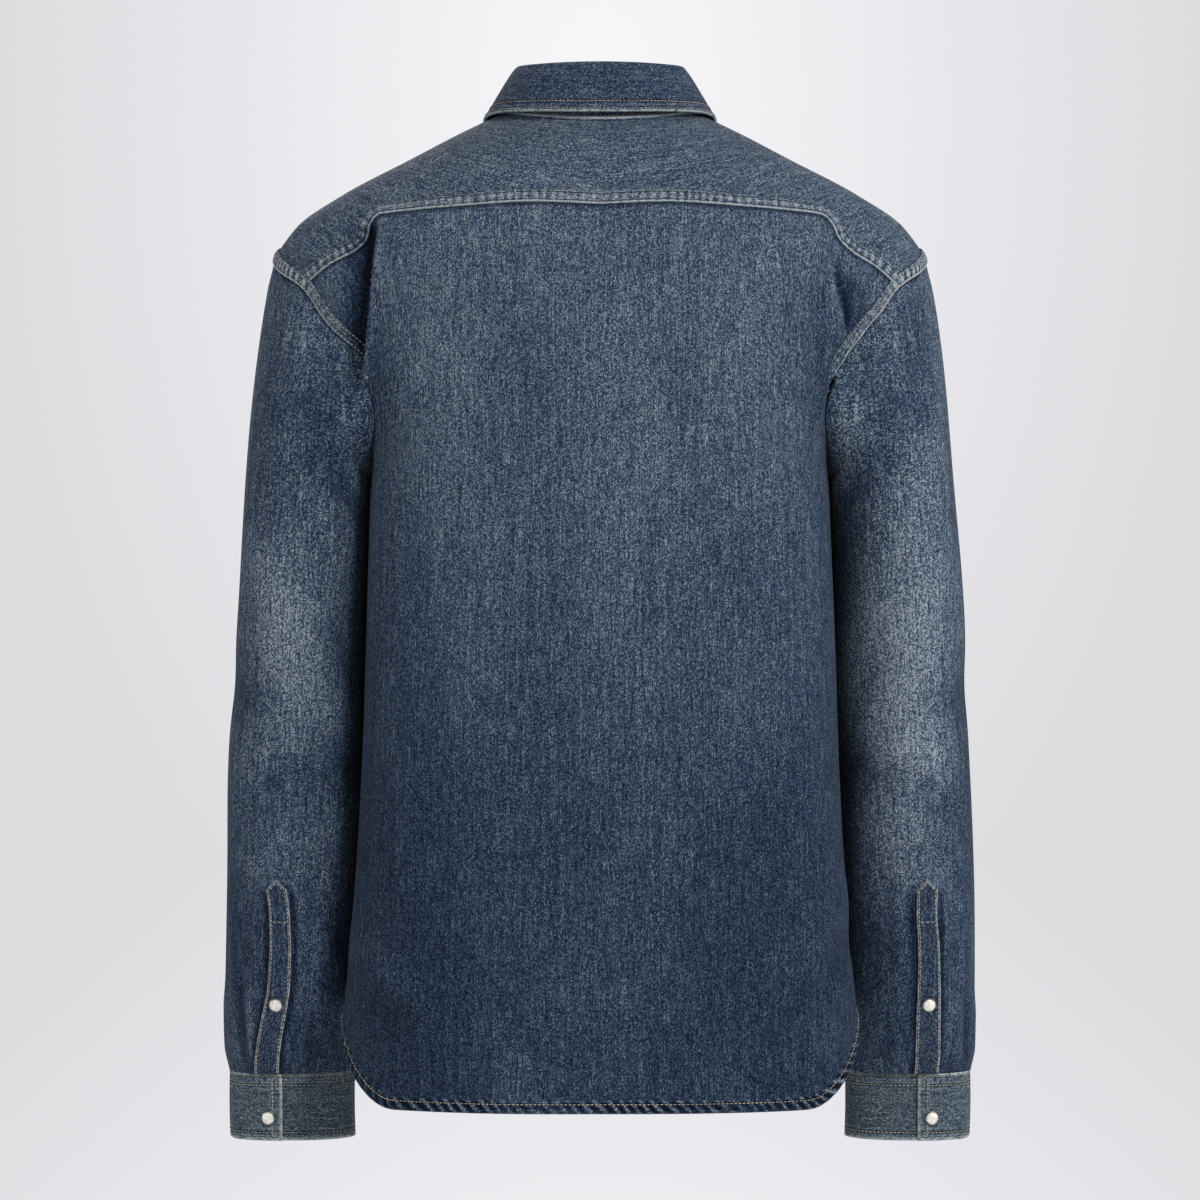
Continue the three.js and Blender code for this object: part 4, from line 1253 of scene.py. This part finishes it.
def hanging_threads(side):
    """Lengths round the sleeve and down it, so that its threads hang straight down from the armhole."""

    def lay(turn, along):
        p = SLEEVES[side].point(turn, along)
        drop = -p[..., 2]
        share = np.clip((drop - SLEEVE_AXIS["from"]) / SLEEVE_AXIS["over"], 0, 1)
        middle = lerp(SLEEVE_AXIS["top"], SLEEVE_AXIS["low"], share)
        round_it = np.arctan2(p[..., 1] - arm_by_height["yMid"](drop), np.abs(p[..., 0]) - middle)
        return np.unwrap(round_it, axis=1) * SLEEVE_RADIUS, drop

    return lay


def sleeve_tone(side):
    """Painted shade deep in the creases, pale from wear on their ridges, and a painted shadow along the
    edges of the placket.
    """

    def tone(turn, along):
        degrees = np.mod(turn / DEGREE, 360)
        off = np.abs(degrees - placket_line[side](along)) * DEGREE * 48 - SLEEVE_PLACKET["half"]
        # Painted shadow along the outside of the placket's edges
        line = bell((off - 1.2) / 1.5) * smooth((along - SLEEVE_PLACKET["top"] + 2) / 8)
        return 0.05 * sleeve_relief(side, turn, along) - 0.34 * line

    return tone


def build_panels():
    """Yoke, back, fronts and sleeves."""
    yoke = cloth_piece(
        "shirt_yoke", spaced(730), spaced(100), **on(BODY, yoke_map), look=fade_and_painted_light_of_body, grain="across"
    )
    shares = np.concatenate([steps(62, 0, 0.2)[:-1], steps(74, 0.2, 0.8), steps(62, 0.8, 1)[1:]])
    back = cloth_piece(
        "shirt_back", shares, spaced(650, 3.6), **on(BODY, back_map), look=fade_and_painted_light_of_body, deep="t"
    )
    pieces = {"yoke": yoke, "back": back}
    left = front_map(CENTRE_OVERLAP + LAY_GAP)
    right = flipped(front_map(-CENTRE_OVERLAP))
    for side, width, mapping in (("left", 200, left), ("right", 220, right)):
        pieces[f"front_{side}"] = cloth_piece(
            f"shirt_front_{side}", spaced(width), spaced(700), **on(BODY, mapping), look=fade_and_painted_light_of_body
        )
    for side, surface in SLEEVES.items():
        pieces[f"sleeve_{side}"] = cloth_piece(
            f"shirt_sleeve_{side}",
            steps(104, 0, FULL_TURN),
            steps(190, 0, SLEEVE_END + 1),
            **on(surface),
            look=fade_and_painted_light_of_sleeve,
            closed=True,
            lay=hanging_threads(side),
            tone=sleeve_tone(side),
            deep="t",
        )
    return pieces


# How far in from an edge its rows of stitches lie
EDGE_ROWS = {
    "collar": (1.8, 7.8),
    "cuff_top": (1.6, 8.6),
    "cuff_bottom": (6.0,),
    "cuff_end": (7.0,),
    "sleeve_placket": (1.6,),
    "front_placket": (1.8, 7.0),
}
STIFF = {"wall": STIFF_WALL, "grain": "across"}


def build_stiff_pieces():
    """Stand, collar, cuffs and plackets, whose edges are turned in and stitched."""
    pieces = {}
    pieces["collar_stand"] = cloth_piece(
        "shirt_collar_stand",
        steps(170, CENTRE_FRONT - STAND_TAB, CENTRE_FRONT + FULL_TURN + STAND_TAB),
        steps(12),
        **on(STAND_CLOTH),
        **STIFF,
        look=FADE_AND_PAINTED_LIGHT["stand"],
        worn="se",
    )
    near_edge = 1 - np.array([10, 9, 8.3, 7.6, 6.9, 6, 4.5, 3.1, 2.3, 1.6, 0.9, 0.3, 0]) / 52
    pieces["collar"] = cloth_piece(
        "shirt_collar",
        steps(180),
        np.concatenate([steps(18, 0, 0.79), near_edge]),
        **on(COLLAR),
        **STIFF,
        look=FADE_AND_PAINTED_LIGHT["collar"],
        worn="bse",
        sewn={edge: EDGE_ROWS["collar"] for edge in "bse"},
    )
    cuff_rows = {edge: EDGE_ROWS["cuff_" + name] for edge, name in zip("tbe", ("top", "bottom", "end"))}
    for side in SIDES:
        pieces[f"cuff_{side}"] = cloth_piece(
            f"shirt_cuff_{side}",
            steps(120, CUFF_START, CUFF_END),
            steps(38),
            **on(CUFFS[side]),
            **STIFF,
            look=FADE_AND_PAINTED_LIGHT["cuff"],
            worn="tbe",
            sewn=cuff_rows,
            outside=GREYED,
        )
        pieces[f"sleeve_placket_{side}"] = cloth_piece(
            f"shirt_sleeve_placket_{side}",
            steps(12, -1, 1),
            steps(70, SLEEVE_PLACKET["top"], SLEEVE_END - 1.5),
            **on(SLEEVE_PLACKETS[side]),
            look=FADE_AND_PAINTED_LIGHT["sleeve_placket"],
            worn="tse",
            sewn={edge: EDGE_ROWS["sleeve_placket"] for edge in "se"},
        )
    pieces["front_placket"] = cloth_piece(
        "shirt_front_placket",
        steps(28, -PLACKET_WIDTH / 2, PLACKET_WIDTH / 2),
        steps(230, PLACKET_TOP, PLACKET_BOTTOM),
        **on(PLACKET),
        look=lambda p: fade_and_painted_light_of_body(p) + FADE_AND_PAINTED_LIGHT["front_placket"],
        worn="se",
        sewn={edge: EDGE_ROWS["front_placket"] for edge in "se"},
    )
    return pieces


# Seams


class Seam:
    """A line on a surface. path(t) gives its place for t from 0 to 1. side: the side the sewing lies on."""

    def __init__(self, surface, path, side=1):
        self.surface = surface
        self.path = path
        self.side = side
        self.shares = steps(800)
        points = surface.point(*path(self.shares))
        runs = np.linalg.norm(np.diff(points, axis=0), axis=1)
        self.run = np.concatenate([[0], np.cumsum(runs)])
        self.length = self.run[-1]

    def beside(self, s, off):
        """Place on the surface of the point s mm along the seam and off mm beside it."""
        s, off = np.broadcast_arrays(s, off)
        t = np.interp(s, self.run, self.shares)
        a, b = self.path(t)
        before = self.surface.point(*self.path(np.clip(t - 2e-3, 0, 1)))
        after = self.surface.point(*self.path(np.clip(t + 2e-3, 0, 1)))
        tangent = unit(after - before)
        for _ in range(3):
            da, db = self.surface.slopes(a, b)
            normal = unit(np.cross(da, db)) * self.surface.facing
            move = np.cross(normal, tangent) * (self.side * off / 3)[..., None]
            aa, ab, bb = (da * da).sum(-1), (da * db).sum(-1), (db * db).sum(-1)
            ma, mb = (da * move).sum(-1), (db * move).sum(-1)
            det = aa * bb - ab * ab
            a = a + (ma * bb - mb * ab) / det
            b = b + (mb * aa - ma * ab) / det
        return a, b


# Height of a felled seam's band over the cloth. off: mm from the seam. tone: paler on its worn ridges,
# darker as painted shade where it dips at its rows of stitches and its edges.
BAND = table(
    "off lift tone",
    [
        (-0.35, -0.5, -0.1),
        (-0.3, 0.6, 0.3),
        (0.2, 1.35, 0.55),
        (0.9, 1.35, 0.36),
        (1.6, 0.75, -0.1),
        (2.4, 1.3, 0.1),
        (4.6, 1.55, 0.16),
        (6.8, 1.3, 0.11),
        (7.6, 0.7, -0.1),
        (8.4, 1.0, 0.2),
        (9.2, 0.6, 0.02),
        (9.7, -0.2, -0.1),
    ],
)
# Rolled hem: its tone is darker as painted shade where it dips at its row of stitches
HEM_ROLL = table(
    "off lift tone",
    [
        (-1.0, -0.9, 0),
        (-1.2, 0.1, 0.05),
        (-0.6, 1.0, 0.08),
        (0.6, 1.45, -0.04),
        (2.4, 1.4, -0.08),
        (4.4, 1.2, -0.12),
        (5.4, 0.65, -0.28),
        (6.2, 0.65, -0.24),
        (7.2, 0.8, 0.06),
        (8.0, 0.4, 0),
        (9.0, -0.2, 0),
    ],
)
# Roll of the neck seam: pale where worn, darker at its lower edge as painted shadow
NECK_ROLL = table(
    "off lift tone",
    [
        (-1.0, -0.4, -0.1),
        (-0.6, 1.2, 0.3),
        (0.3, 2.2, 0.6),
        (1.2, 2.2, 0.55),
        (2.2, 1.1, 0.1),
        (2.7, -0.2, -0.25),
    ],
)


# Where a band ends under a fold, its share of its width, and its depth in the cloth in mm
NARROWED = 0.3
BURIED = 1.3


def whole(s):
    return 1 + 0 * s


def band(
    name,
    seam,
    profile=BAND,
    raised=0.0,
    look=fade_and_painted_light_of_body,
    pucker=(0.35, 6.5, 0.17),
    slant=0.0,
    cell=1.5,
    keep=whole,
    start=0.0,
    end=None,
    darker=whole,
):
    """A strip of turned-in cloth along a seam, puckered between its rows of stitches, paler on its worn
    ridges and darker in its dips as painted shade.

    raised: mm added to its height. pucker: height and length of its puckers in mm, and how much paler their
    worn ridges and darker their troughs, as painted shade, are. slant: how far they lean. keep(s): how much
    of its width and height the band has s mm
    along the seam. darker(s): how much stronger its tones, with their painted shade, are there, and how much
    darker it is. cell: spacing of its points in mm."""
    offs, lifts, tones = [np.array([row[key] for row in profile]) for key in ("off", "lift", "tone")]
    middle = bell((offs - offs.mean()) / (0.3 * (offs[-1] - offs[0])))
    height, period, contrast = pucker

    def mapped(s, k):
        return seam.beside(s, offs[np.rint(k).astype(int)] * lerp(NARROWED, 1, keep(s)))

    def ripple(s, k):
        index = np.rint(k).astype(int)
        wobble = s + slant * offs[index] + 2.2 * np.sin(s / 17.0) + 1.3 * np.sin(s / 7.3)
        wave = np.sin(FULL_TURN * wobble / period)
        return (wave + 0.5 * wave**3 - 0.15) * middle[index] * (0.7 + 0.3 * np.sin(s / 23.0))

    def place(s, k):
        index = np.rint(k).astype(int)
        rise = (lifts[index] + height * ripple(s, k) + raised) * keep(s) - BURIED * (1 - keep(s))
        return seam.surface.lifted(*mapped(s, k), rise)

    def facing(s, k):
        return seam.surface.normal(*mapped(s, k))

    def tone(s, k):
        # Worn ridges paler, dips and pucker troughs darker as painted shade; darker(s) makes both stronger
        # and the band darker
        extra = darker(s) - 1
        return (1 + extra) * (tones[np.rint(k).astype(int)] + contrast * ripple(s, k)) + 0.03 - 0.08 * extra

    end = seam.length if end is None else end
    count = max(8, round((end - start) / cell))
    return cloth_piece(
        name,
        steps(count, start, end),
        np.arange(len(offs)),
        place,
        facing,
        look,
        STRIP_WALL,
        "across",
        tone=tone,
    )


def stitch_places(seam, off, lift, start=0.0, end=None):
    """Centres of the stitches along a seam, off mm beside it, and their three half axes, in mm."""
    end = seam.length if end is None else end
    count = max(1, int((end - start) / STITCH["pitch"]))
    run = np.linspace(start, end, 2 * count + 1)
    place = seam.beside(run, off)
    line = seam.surface.point(*place)
    middle = (place[0][1::2], place[1][1::2])
    along = unit(line[2::2] - line[:-2:2])
    normal = seam.surface.normal(*middle)
    across = unit(np.cross(normal, along))
    normal = np.cross(along, across)
    sizes = np.array([STITCH["width"], STITCH["thick"], STITCH["length"]]) / 2
    axes = np.stack([across, normal, along], axis=1) * sizes[:, None]
    return line[1::2] + normal * lift, axes


def thread_piece(name, rows, material=TAN_THREAD):
    """One piece of thread from rows of (seam, off, lift) or (seam, off, lift, start, end)."""
    made = [stitch_places(*row) for row in rows]
    centres = np.concatenate([centre for centre, _ in made])
    axes = np.concatenate([axis for _, axis in made])
    bm = bmesh.new()
    bmesh.ops.create_uvsphere(bm, u_segments=5, v_segments=4, radius=1)
    piece = add_object(name, finished_mesh(bm, name))
    repeat = piece.modifiers.new("stitches", "ARRAY")
    repeat.count = len(centres)
    repeat.use_relative_offset = False
    repeat.use_constant_offset = True
    repeat.constant_offset_displace = (0, 0, 0)
    evaluated = piece.evaluated_get(bpy.context.evaluated_depsgraph_get())
    mesh = bpy.data.meshes.new_from_object(evaluated)
    piece.modifiers.clear()
    piece.data = mesh
    local = read_vectors(mesh.vertices, "co").reshape(len(centres), -1, 3)
    points = centres[:, None, :] + np.einsum("nvk,nkc->nvc", local, axes)
    mesh.vertices.foreach_set("co", (points * MM).ravel())
    mesh.update()
    mesh.shade_smooth()
    mesh.materials.clear()
    mesh.materials.append(material)
    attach(piece, "root")
    return piece


def body_path(angle_down, side):
    """A path on the left half of the body, or its mirror image on the right half."""
    if side == "left":
        return angle_down
    return lambda t: (mirror_angle(angle_down(t)[0]), angle_down(t)[1])


def side_sign(side):
    return 1 if side == "left" else -1


# Height of the stitches' middles over the cloth in mm, and how far above its edge the hem is stitched
STITCH_LIFTS = {"band": 1.1, "yoke": 1.35, "armhole": 1.55, "hem": 0.95, "edge": 0.1}
HEM_ROW = 5.6
FOOT_ROW = 2.0  # on the stand, above the neck


def sewn_band(name, seam, lift=STITCH_LIFTS["band"], part=(), **settings):
    """A felled band and the two rows of stitches on it. part: where along the seam they start and end."""
    strip = band(f"band_{name}", seam, **settings)
    return [strip, thread_piece(f"stitches_{name}", [(seam, off, lift, *part) for off in TWIN_ROWS])]


UNDER_FOLD_END = 112  # degrees round the armhole, where the sleeve covers its band
LAST_STITCH = 89
SHOULDER = (-6, 46)  # where the armhole's band lies over the yoke's seams


def armhole_band(side):
    """The armhole's band, that sinks under the fold of the back, with its worn ridges and its painted shade
    in the troughs strongest at the shoulder.
    """
    path = body_path(lambda t: armhole(lerp(-math.pi, math.pi, t)), side)
    loop = Seam(BODY, path, side=side_sign(side))

    def run_at(degrees):
        return np.interp((180 + degrees) / 360, loop.shares, loop.run)

    end = run_at(UNDER_FOLD_END)
    low, high = [run_at(degrees) for degrees in SHOULDER]
    return sewn_band(
        f"armhole_{side}",
        loop,
        lift=STITCH_LIFTS["armhole"],
        part=(0, run_at(LAST_STITCH)),
        raised=0.35,
        end=end,
        keep=lambda s: 1 - smooth((s - end + 28) / 26),
        # Painted shade: the band's tones stronger and darker where it lies over the yoke's seams
        darker=lambda s: 1 + 1.1 * smooth((s - low) / 16) * (1 - smooth((s - high) / 10)),
    )


def yoke_front(t):
    angle, down = armhole(np.array(FRONT_SEAM_TURN))
    return lerp(FRONT_SEAM_ANGLE, angle, t), down * t


def side_seam(t):
    return 0 * t, lerp(UNDERARM_DOWN, hem_down(0.0), t)


def front_hem(t):
    angle = lerp(front_angle(PLACKET_BOTTOM, CENTRE_OVERLAP), 0, t)
    return angle, hem_down(angle)


def build_seams():
    """Felled bands over the seams, each with two rows of stitches, and the rolled hem."""
    yoke_back = Seam(BODY, back_top)
    yoke_rows = [(yoke_back, off, STITCH_LIFTS["yoke"]) for off in TWIN_ROWS]
    neck = Seam(BODY, lambda t: (lerp(-70 * DEGREE, 250 * DEGREE, t), 0 * t), side=-1)
    made = {
        "yoke": [
            band("band_yoke_back", yoke_back, raised=0.1),
            band("roll_neck", neck, NECK_ROLL, pucker=(0.15, 5.0, 0.08)),
            thread_piece("stitches_yoke_back", yoke_rows, BROWN_THREAD),
        ]
    }
    for side in SIDES:
        sign = side_sign(side)
        made[f"sleeve_{side}"] = armhole_band(side)
        front = Seam(BODY, body_path(yoke_front, side), side=sign)
        made["yoke"] += sewn_band(f"yoke_front_{side}", front)
        flank = Seam(BODY, body_path(side_seam, side), side=-sign)
        made.setdefault("back", []).extend(sewn_band(f"side_{side}", flank))
        under = Seam(SLEEVES[side], lambda t: (math.pi + 0 * t, SLEEVE_END * t), side=sign)
        made[f"sleeve_{side}"] += sewn_band(f"underarm_{side}", under, look=fade_and_painted_light_of_sleeve)

    edges = {
        "back": Seam(BODY, back_hem),
        "front_left": Seam(BODY, front_hem),
        "front_right": Seam(BODY, body_path(front_hem, "right"), side=-1),
    }
    for name, edge in edges.items():
        hem = band(f"hem_{name}", edge, HEM_ROLL, pucker=(0.5, 9.0, 0.55), slant=1.0)
        row = thread_piece(f"stitches_hem_{name}", [(edge, HEM_ROW, STITCH_LIFTS["hem"])])
        made.setdefault(name, []).extend([hem, row])
    return made


def edge_of(surface, fixed, low, high, along="a", side=1):
    """Seam along an edge of a surface, at a fixed value of its other coordinate."""
    if along == "a":
        return Seam(surface, lambda t: (lerp(low, high, t), fixed + 0 * t), side)
    return Seam(surface, lambda t: (fixed + 0 * t, lerp(low, high, t)), side)


def build_edge_stitches():
    """Rows of stitches along the edges of the collar, stand, cuffs and plackets."""
    lift = STITCH_LIFTS["edge"]
    leaf = edge_of(COLLAR, 1.0, 0.0, 1.0)
    ends = [edge_of(COLLAR, 0.0, 0.15, 1.0, "b", -1), edge_of(COLLAR, 1.0, 0.15, 1.0, "b", 1)]
    corners = list(zip(EDGE_ROWS["collar"], (2, 8)))
    rows = [(leaf, off, lift, short, leaf.length - short) for off, short in corners]
    rows += [(edge, off, lift, 0, edge.length - short) for off, short in corners for edge in ends]
    made = {"collar": [thread_piece("stitches_collar", rows)]}
    foot = edge_of(STAND_CLOTH, 0.0, CENTRE_FRONT - STAND_TAB, CENTRE_FRONT + FULL_TURN + STAND_TAB)
    made["collar_stand"] = [thread_piece("stitches_stand", [(foot, FOOT_ROW, lift)])]
    for side in SIDES:
        sign = side_sign(side)
        top = edge_of(CUFFS[side], 0.0, CUFF_START, CUFF_END, side=-sign)
        bottom = edge_of(CUFFS[side], 1.0, CUFF_START, CUFF_END, side=sign)
        end = edge_of(CUFFS[side], CUFF_END, 0.0, 1.0, "b", side=-sign)
        rows = [(top, off, lift) for off in EDGE_ROWS["cuff_top"]]
        rows += [(bottom, off, lift) for off in EDGE_ROWS["cuff_bottom"]]
        rows += [(end, off, lift, 3, end.length - 3) for off in EDGE_ROWS["cuff_end"]]
        made[f"cuff_{side}"] = [thread_piece(f"stitches_cuff_{side}", rows)]

        strip, tip = SLEEVE_PLACKETS[side], SLEEVE_PLACKET["top"]
        [inset] = EDGE_ROWS["sleeve_placket"]
        rows = [
            (edge_of(strip, share, tip, SLEEVE_END - 2, "b", side=share * sign), inset, lift)
            for share in (-1.0, 1.0)
        ]
        peak = edge_of(strip, tip, -1.0, 1.0, side=sign)
        bar = edge_of(strip, tip + 24, -0.8, 0.8, side=sign)
        rows += [(peak, inset, lift, 2, peak.length - 2), (bar, 0, lift)]
        made[f"sleeve_placket_{side}"] = [thread_piece(f"stitches_sleeve_placket_{side}", rows)]
    rows = []
    for sign in (-1, 1):
        x = sign * PLACKET_WIDTH / 2
        edge = edge_of(PLACKET, x, PLACKET_TOP, PLACKET_BOTTOM - 1, "b", side=-sign)
        rows += [(edge, off, lift) for off in EDGE_ROWS["front_placket"]]
    made["front_placket"] = [thread_piece("stitches_front_placket", rows)]
    return made


# Outlines of a snap's rim and cap: how far inside its radius, and how high
RIM_OUTLINE = [(1.2, 0), (0.25, 0), (0, 0.35), (0, 0.85), (0.35, 1.25), (0.85, 1.3), (1.15, 1.05), (1.2, 0)]
CAP_OUTLINE = [
    (SNAP_RADIUS, 0.5),
    (1.1, 0.5),
    (1.0, 1.15),
    (1.3, 1.5),
    (2.1, 1.95),
    (3.4, SNAP_DOME + LAY_GAP - 0.12),
    (SNAP_RADIUS, SNAP_DOME + LAY_GAP),
]


def snap(name, face, outward):
    """Pearl cap in a rolled metal rim, standing on a face, with its foot pressed into the cloth."""
    bm = bmesh.new()
    for number, outline in enumerate((RIM_OUTLINE, CAP_OUTLINE)):
        line = [bm.verts.new(((SNAP_RADIUS - inside) * MM, 0, high * MM)) for inside, high in outline]
        edges = [bm.edges.new(pair) for pair in zip(line, line[1:])]
        before = set(bm.faces)
        bmesh.ops.spin(
            bm,
            geom=line + edges,
            cent=(0, 0, 0),
            axis=(0, 0, 1),
            angle=FULL_TURN,
            steps=28,
            use_merge=True,
        )
        for face_made in set(bm.faces) - before:
            face_made.material_index = number
    bmesh.ops.remove_doubles(bm, verts=bm.verts, dist=1e-6)
    bmesh.ops.recalc_face_normals(bm, faces=bm.faces)
    turn = Vector((0, 0, 1)).rotation_difference(Vector(outward)).to_matrix().to_4x4()
    bmesh.ops.transform(bm, matrix=Matrix.Translation(Vector(face) * MM) @ turn, verts=bm.verts)
    mesh = finished_mesh(bm, name)
    mesh.shade_smooth()
    mesh.materials.append(RIM)
    mesh.materials.append(PEARL)
    piece = add_object(name, mesh)
    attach(piece, "root")
    return piece


def build_snaps():
    made = {}

    def press(node_name, surface, a, b, lift=0.0):
        a, b = np.array(float(a)), np.array(float(b))
        face = surface.lifted(a, b, np.array(lift))
        made[node_name] = snap(f"pearl_{node_name}", face, surface.normal(a, b))

    for i in range(FRONT_SNAPS):
        press(f"snap_front_{i + 1}", PLACKET, 0, lerp(60, PLACKET_BOTTOM - 95, i / (FRONT_SNAPS - 1)))
    press("snap_collar", stand_plain, CENTRE_FRONT, 0.5, STIFF_WALL + LAY_GAP)
    for side in SIDES:
        press(f"snap_cuff_{side}", CUFFS[side], CUFF_START + FULL_TURN + CUFF_TURN * 0.72, 0.66)
        press(f"snap_sleeve_{side}", SLEEVE_PLACKETS[side], 0, SNAP_ON_SLEEVE)
    return made


# Camera, floor and light
VIEW_HEIGHT = -0.362
VIEW_DISTANCE = 3.0
LENS = 120.8
SENSOR = 36
CARD_AWAY = 6
FLOOR_HEIGHT = -1.45
FLOOR_RADIUS = 2.4
# Lamps: place and the height they point at in metres, diameter and watts
LIGHTS = table(
    "name x y z aim size watts",
    [
        ("key", -1.7, 2.9, 1.6, -0.35, 1.0, 112),
        ("side_right", -2.5, 0.7, 0.1, -0.4, 1.2, 21),
        ("side_left", 2.5, 0.7, 0.1, -0.4, 1.2, 18),
        ("front_fill", 0.4, -3.0, 0.8, -0.35, 2.2, 60),
    ],
)


def look_at(thing, target):
    direction = Vector(target) - thing.location
    thing.rotation_euler = direction.to_track_quat("-Z", "Y").to_euler()


def add_camera():
    camera = add_object("camera", bpy.data.cameras.new("camera"))
    camera.data.lens = LENS
    camera.data.sensor_width = SENSOR
    camera.data.clip_end = 50
    camera.location = (0, VIEW_DISTANCE, VIEW_HEIGHT)
    look_at(camera, (0, 0, VIEW_HEIGHT))
    bpy.context.scene.camera = camera


def add_lights():
    """A key light above the camera to the picture's right, soft side lights, and fill from the front."""
    for row in LIGHTS:
        lamp = bpy.data.lights.new(row["name"], "AREA")
        lamp.shape = "DISK"
        lamp.size = row["size"]
        lamp.energy = row["watts"]
        light = add_object(row["name"], lamp)
        light.location = (row["x"], row["y"], row["z"])
        look_at(light, (0, 0, row["aim"]))


def glowing_paper():
    """Seamless paper backdrop whose glow is painted light, brightest above the middle and along its foot."""
    material, tree, shader = new_material("glowing_paper")
    place = node(tree, "TexCoord", output="Object")
    aside = node(tree, "SeparateXYZ", {0: place}, output="X")
    upward = node(tree, "SeparateXYZ", {0: place}, output="Z")
    wide = node(tree, "Math", {0: aside, 1: 0.75}, operation="MULTIPLY")
    above = node(tree, "Math", {0: upward, 1: 0.45, 2: -0.34}, operation="MULTIPLY_ADD")
    wide = node(tree, "Math", {0: wide, 1: 2.0}, operation="POWER")
    above = node(tree, "Math", {0: above, 1: 2.0}, operation="POWER")
    squares = node(tree, "Math", {0: wide, 1: above}, operation="ADD")
    away = node(tree, "Math", {0: squares}, operation="SQRT")
    foot = {0: upward, 1: -0.9, 2: -0.85}
    low = node(tree, "Math", foot, operation="MULTIPLY_ADD", use_clamp=True)
    away = node(tree, "Math", {0: away, 1: low}, operation="SUBTRACT", use_clamp=True)
    stops = [(0, "f8f8fa"), (0.25, "f1f1f4"), (0.6, "e7e7eb"), (1, "dddde0")]
    tree.links.new(node(tree, "ValToRGB", {0: away}, stops=stops), shader.inputs["Emission Color"])
    black = (0, 0, 0, 1)
    set_constants(shader, {"Base Color": black, "Specular IOR Level": 0.0, "Emission Strength": 1.0})
    return material


def add_card():
    """A paper background far behind, glowing with painted light."""
    bm = bmesh.new()
    bmesh.ops.create_grid(bm, x_segments=1, y_segments=1, size=4)
    turn = Matrix.Rotation(math.radians(90), 4, "X")
    behind = Matrix.Translation((0, -CARD_AWAY, VIEW_HEIGHT))
    bmesh.ops.transform(bm, matrix=behind @ turn, verts=bm.verts)
    mesh = finished_mesh(bm, "card")
    mesh.materials.append(glowing_paper())
    card = add_object("card", mesh)


def add_floor():
    """Pale matt floor under the shirt, too low for the photo's view."""
    bm = bmesh.new()
    bmesh.ops.create_circle(bm, cap_ends=True, segments=96, radius=FLOOR_RADIUS)
    bmesh.ops.translate(bm, vec=(0, 0, FLOOR_HEIGHT), verts=bm.verts)
    mesh = finished_mesh(bm, "floor")
    material, _, shader = new_material("pale_floor")
    set_constants(shader, {"Base Color": srgb("dcdcdf"), "Roughness": 0.9})
    mesh.materials.append(material)
    floor = add_object("floor", mesh)


def add_studio():
    """Pale surroundings, background card, floor and lights."""
    world = bpy.data.worlds.new("studio")
    bpy.context.scene.world = world
    world.use_nodes = True
    set_constants(world.node_tree.nodes["Background"], {"Color": srgb("c9c9cd"), "Strength": 0.8})
    add_card()
    add_floor()
    add_lights()


def main():
    add_camera()
    bpy.context.scene.view_settings.view_transform = "Standard"
    panels = {**build_panels(), **build_stiff_pieces()}
    for node_name, piece in panels.items():
        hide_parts(node_name)
    {**build_seams(), **build_edge_stitches()}
    for node_name, piece in build_snaps().items():
        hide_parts(node_name)
    add_studio()


main()
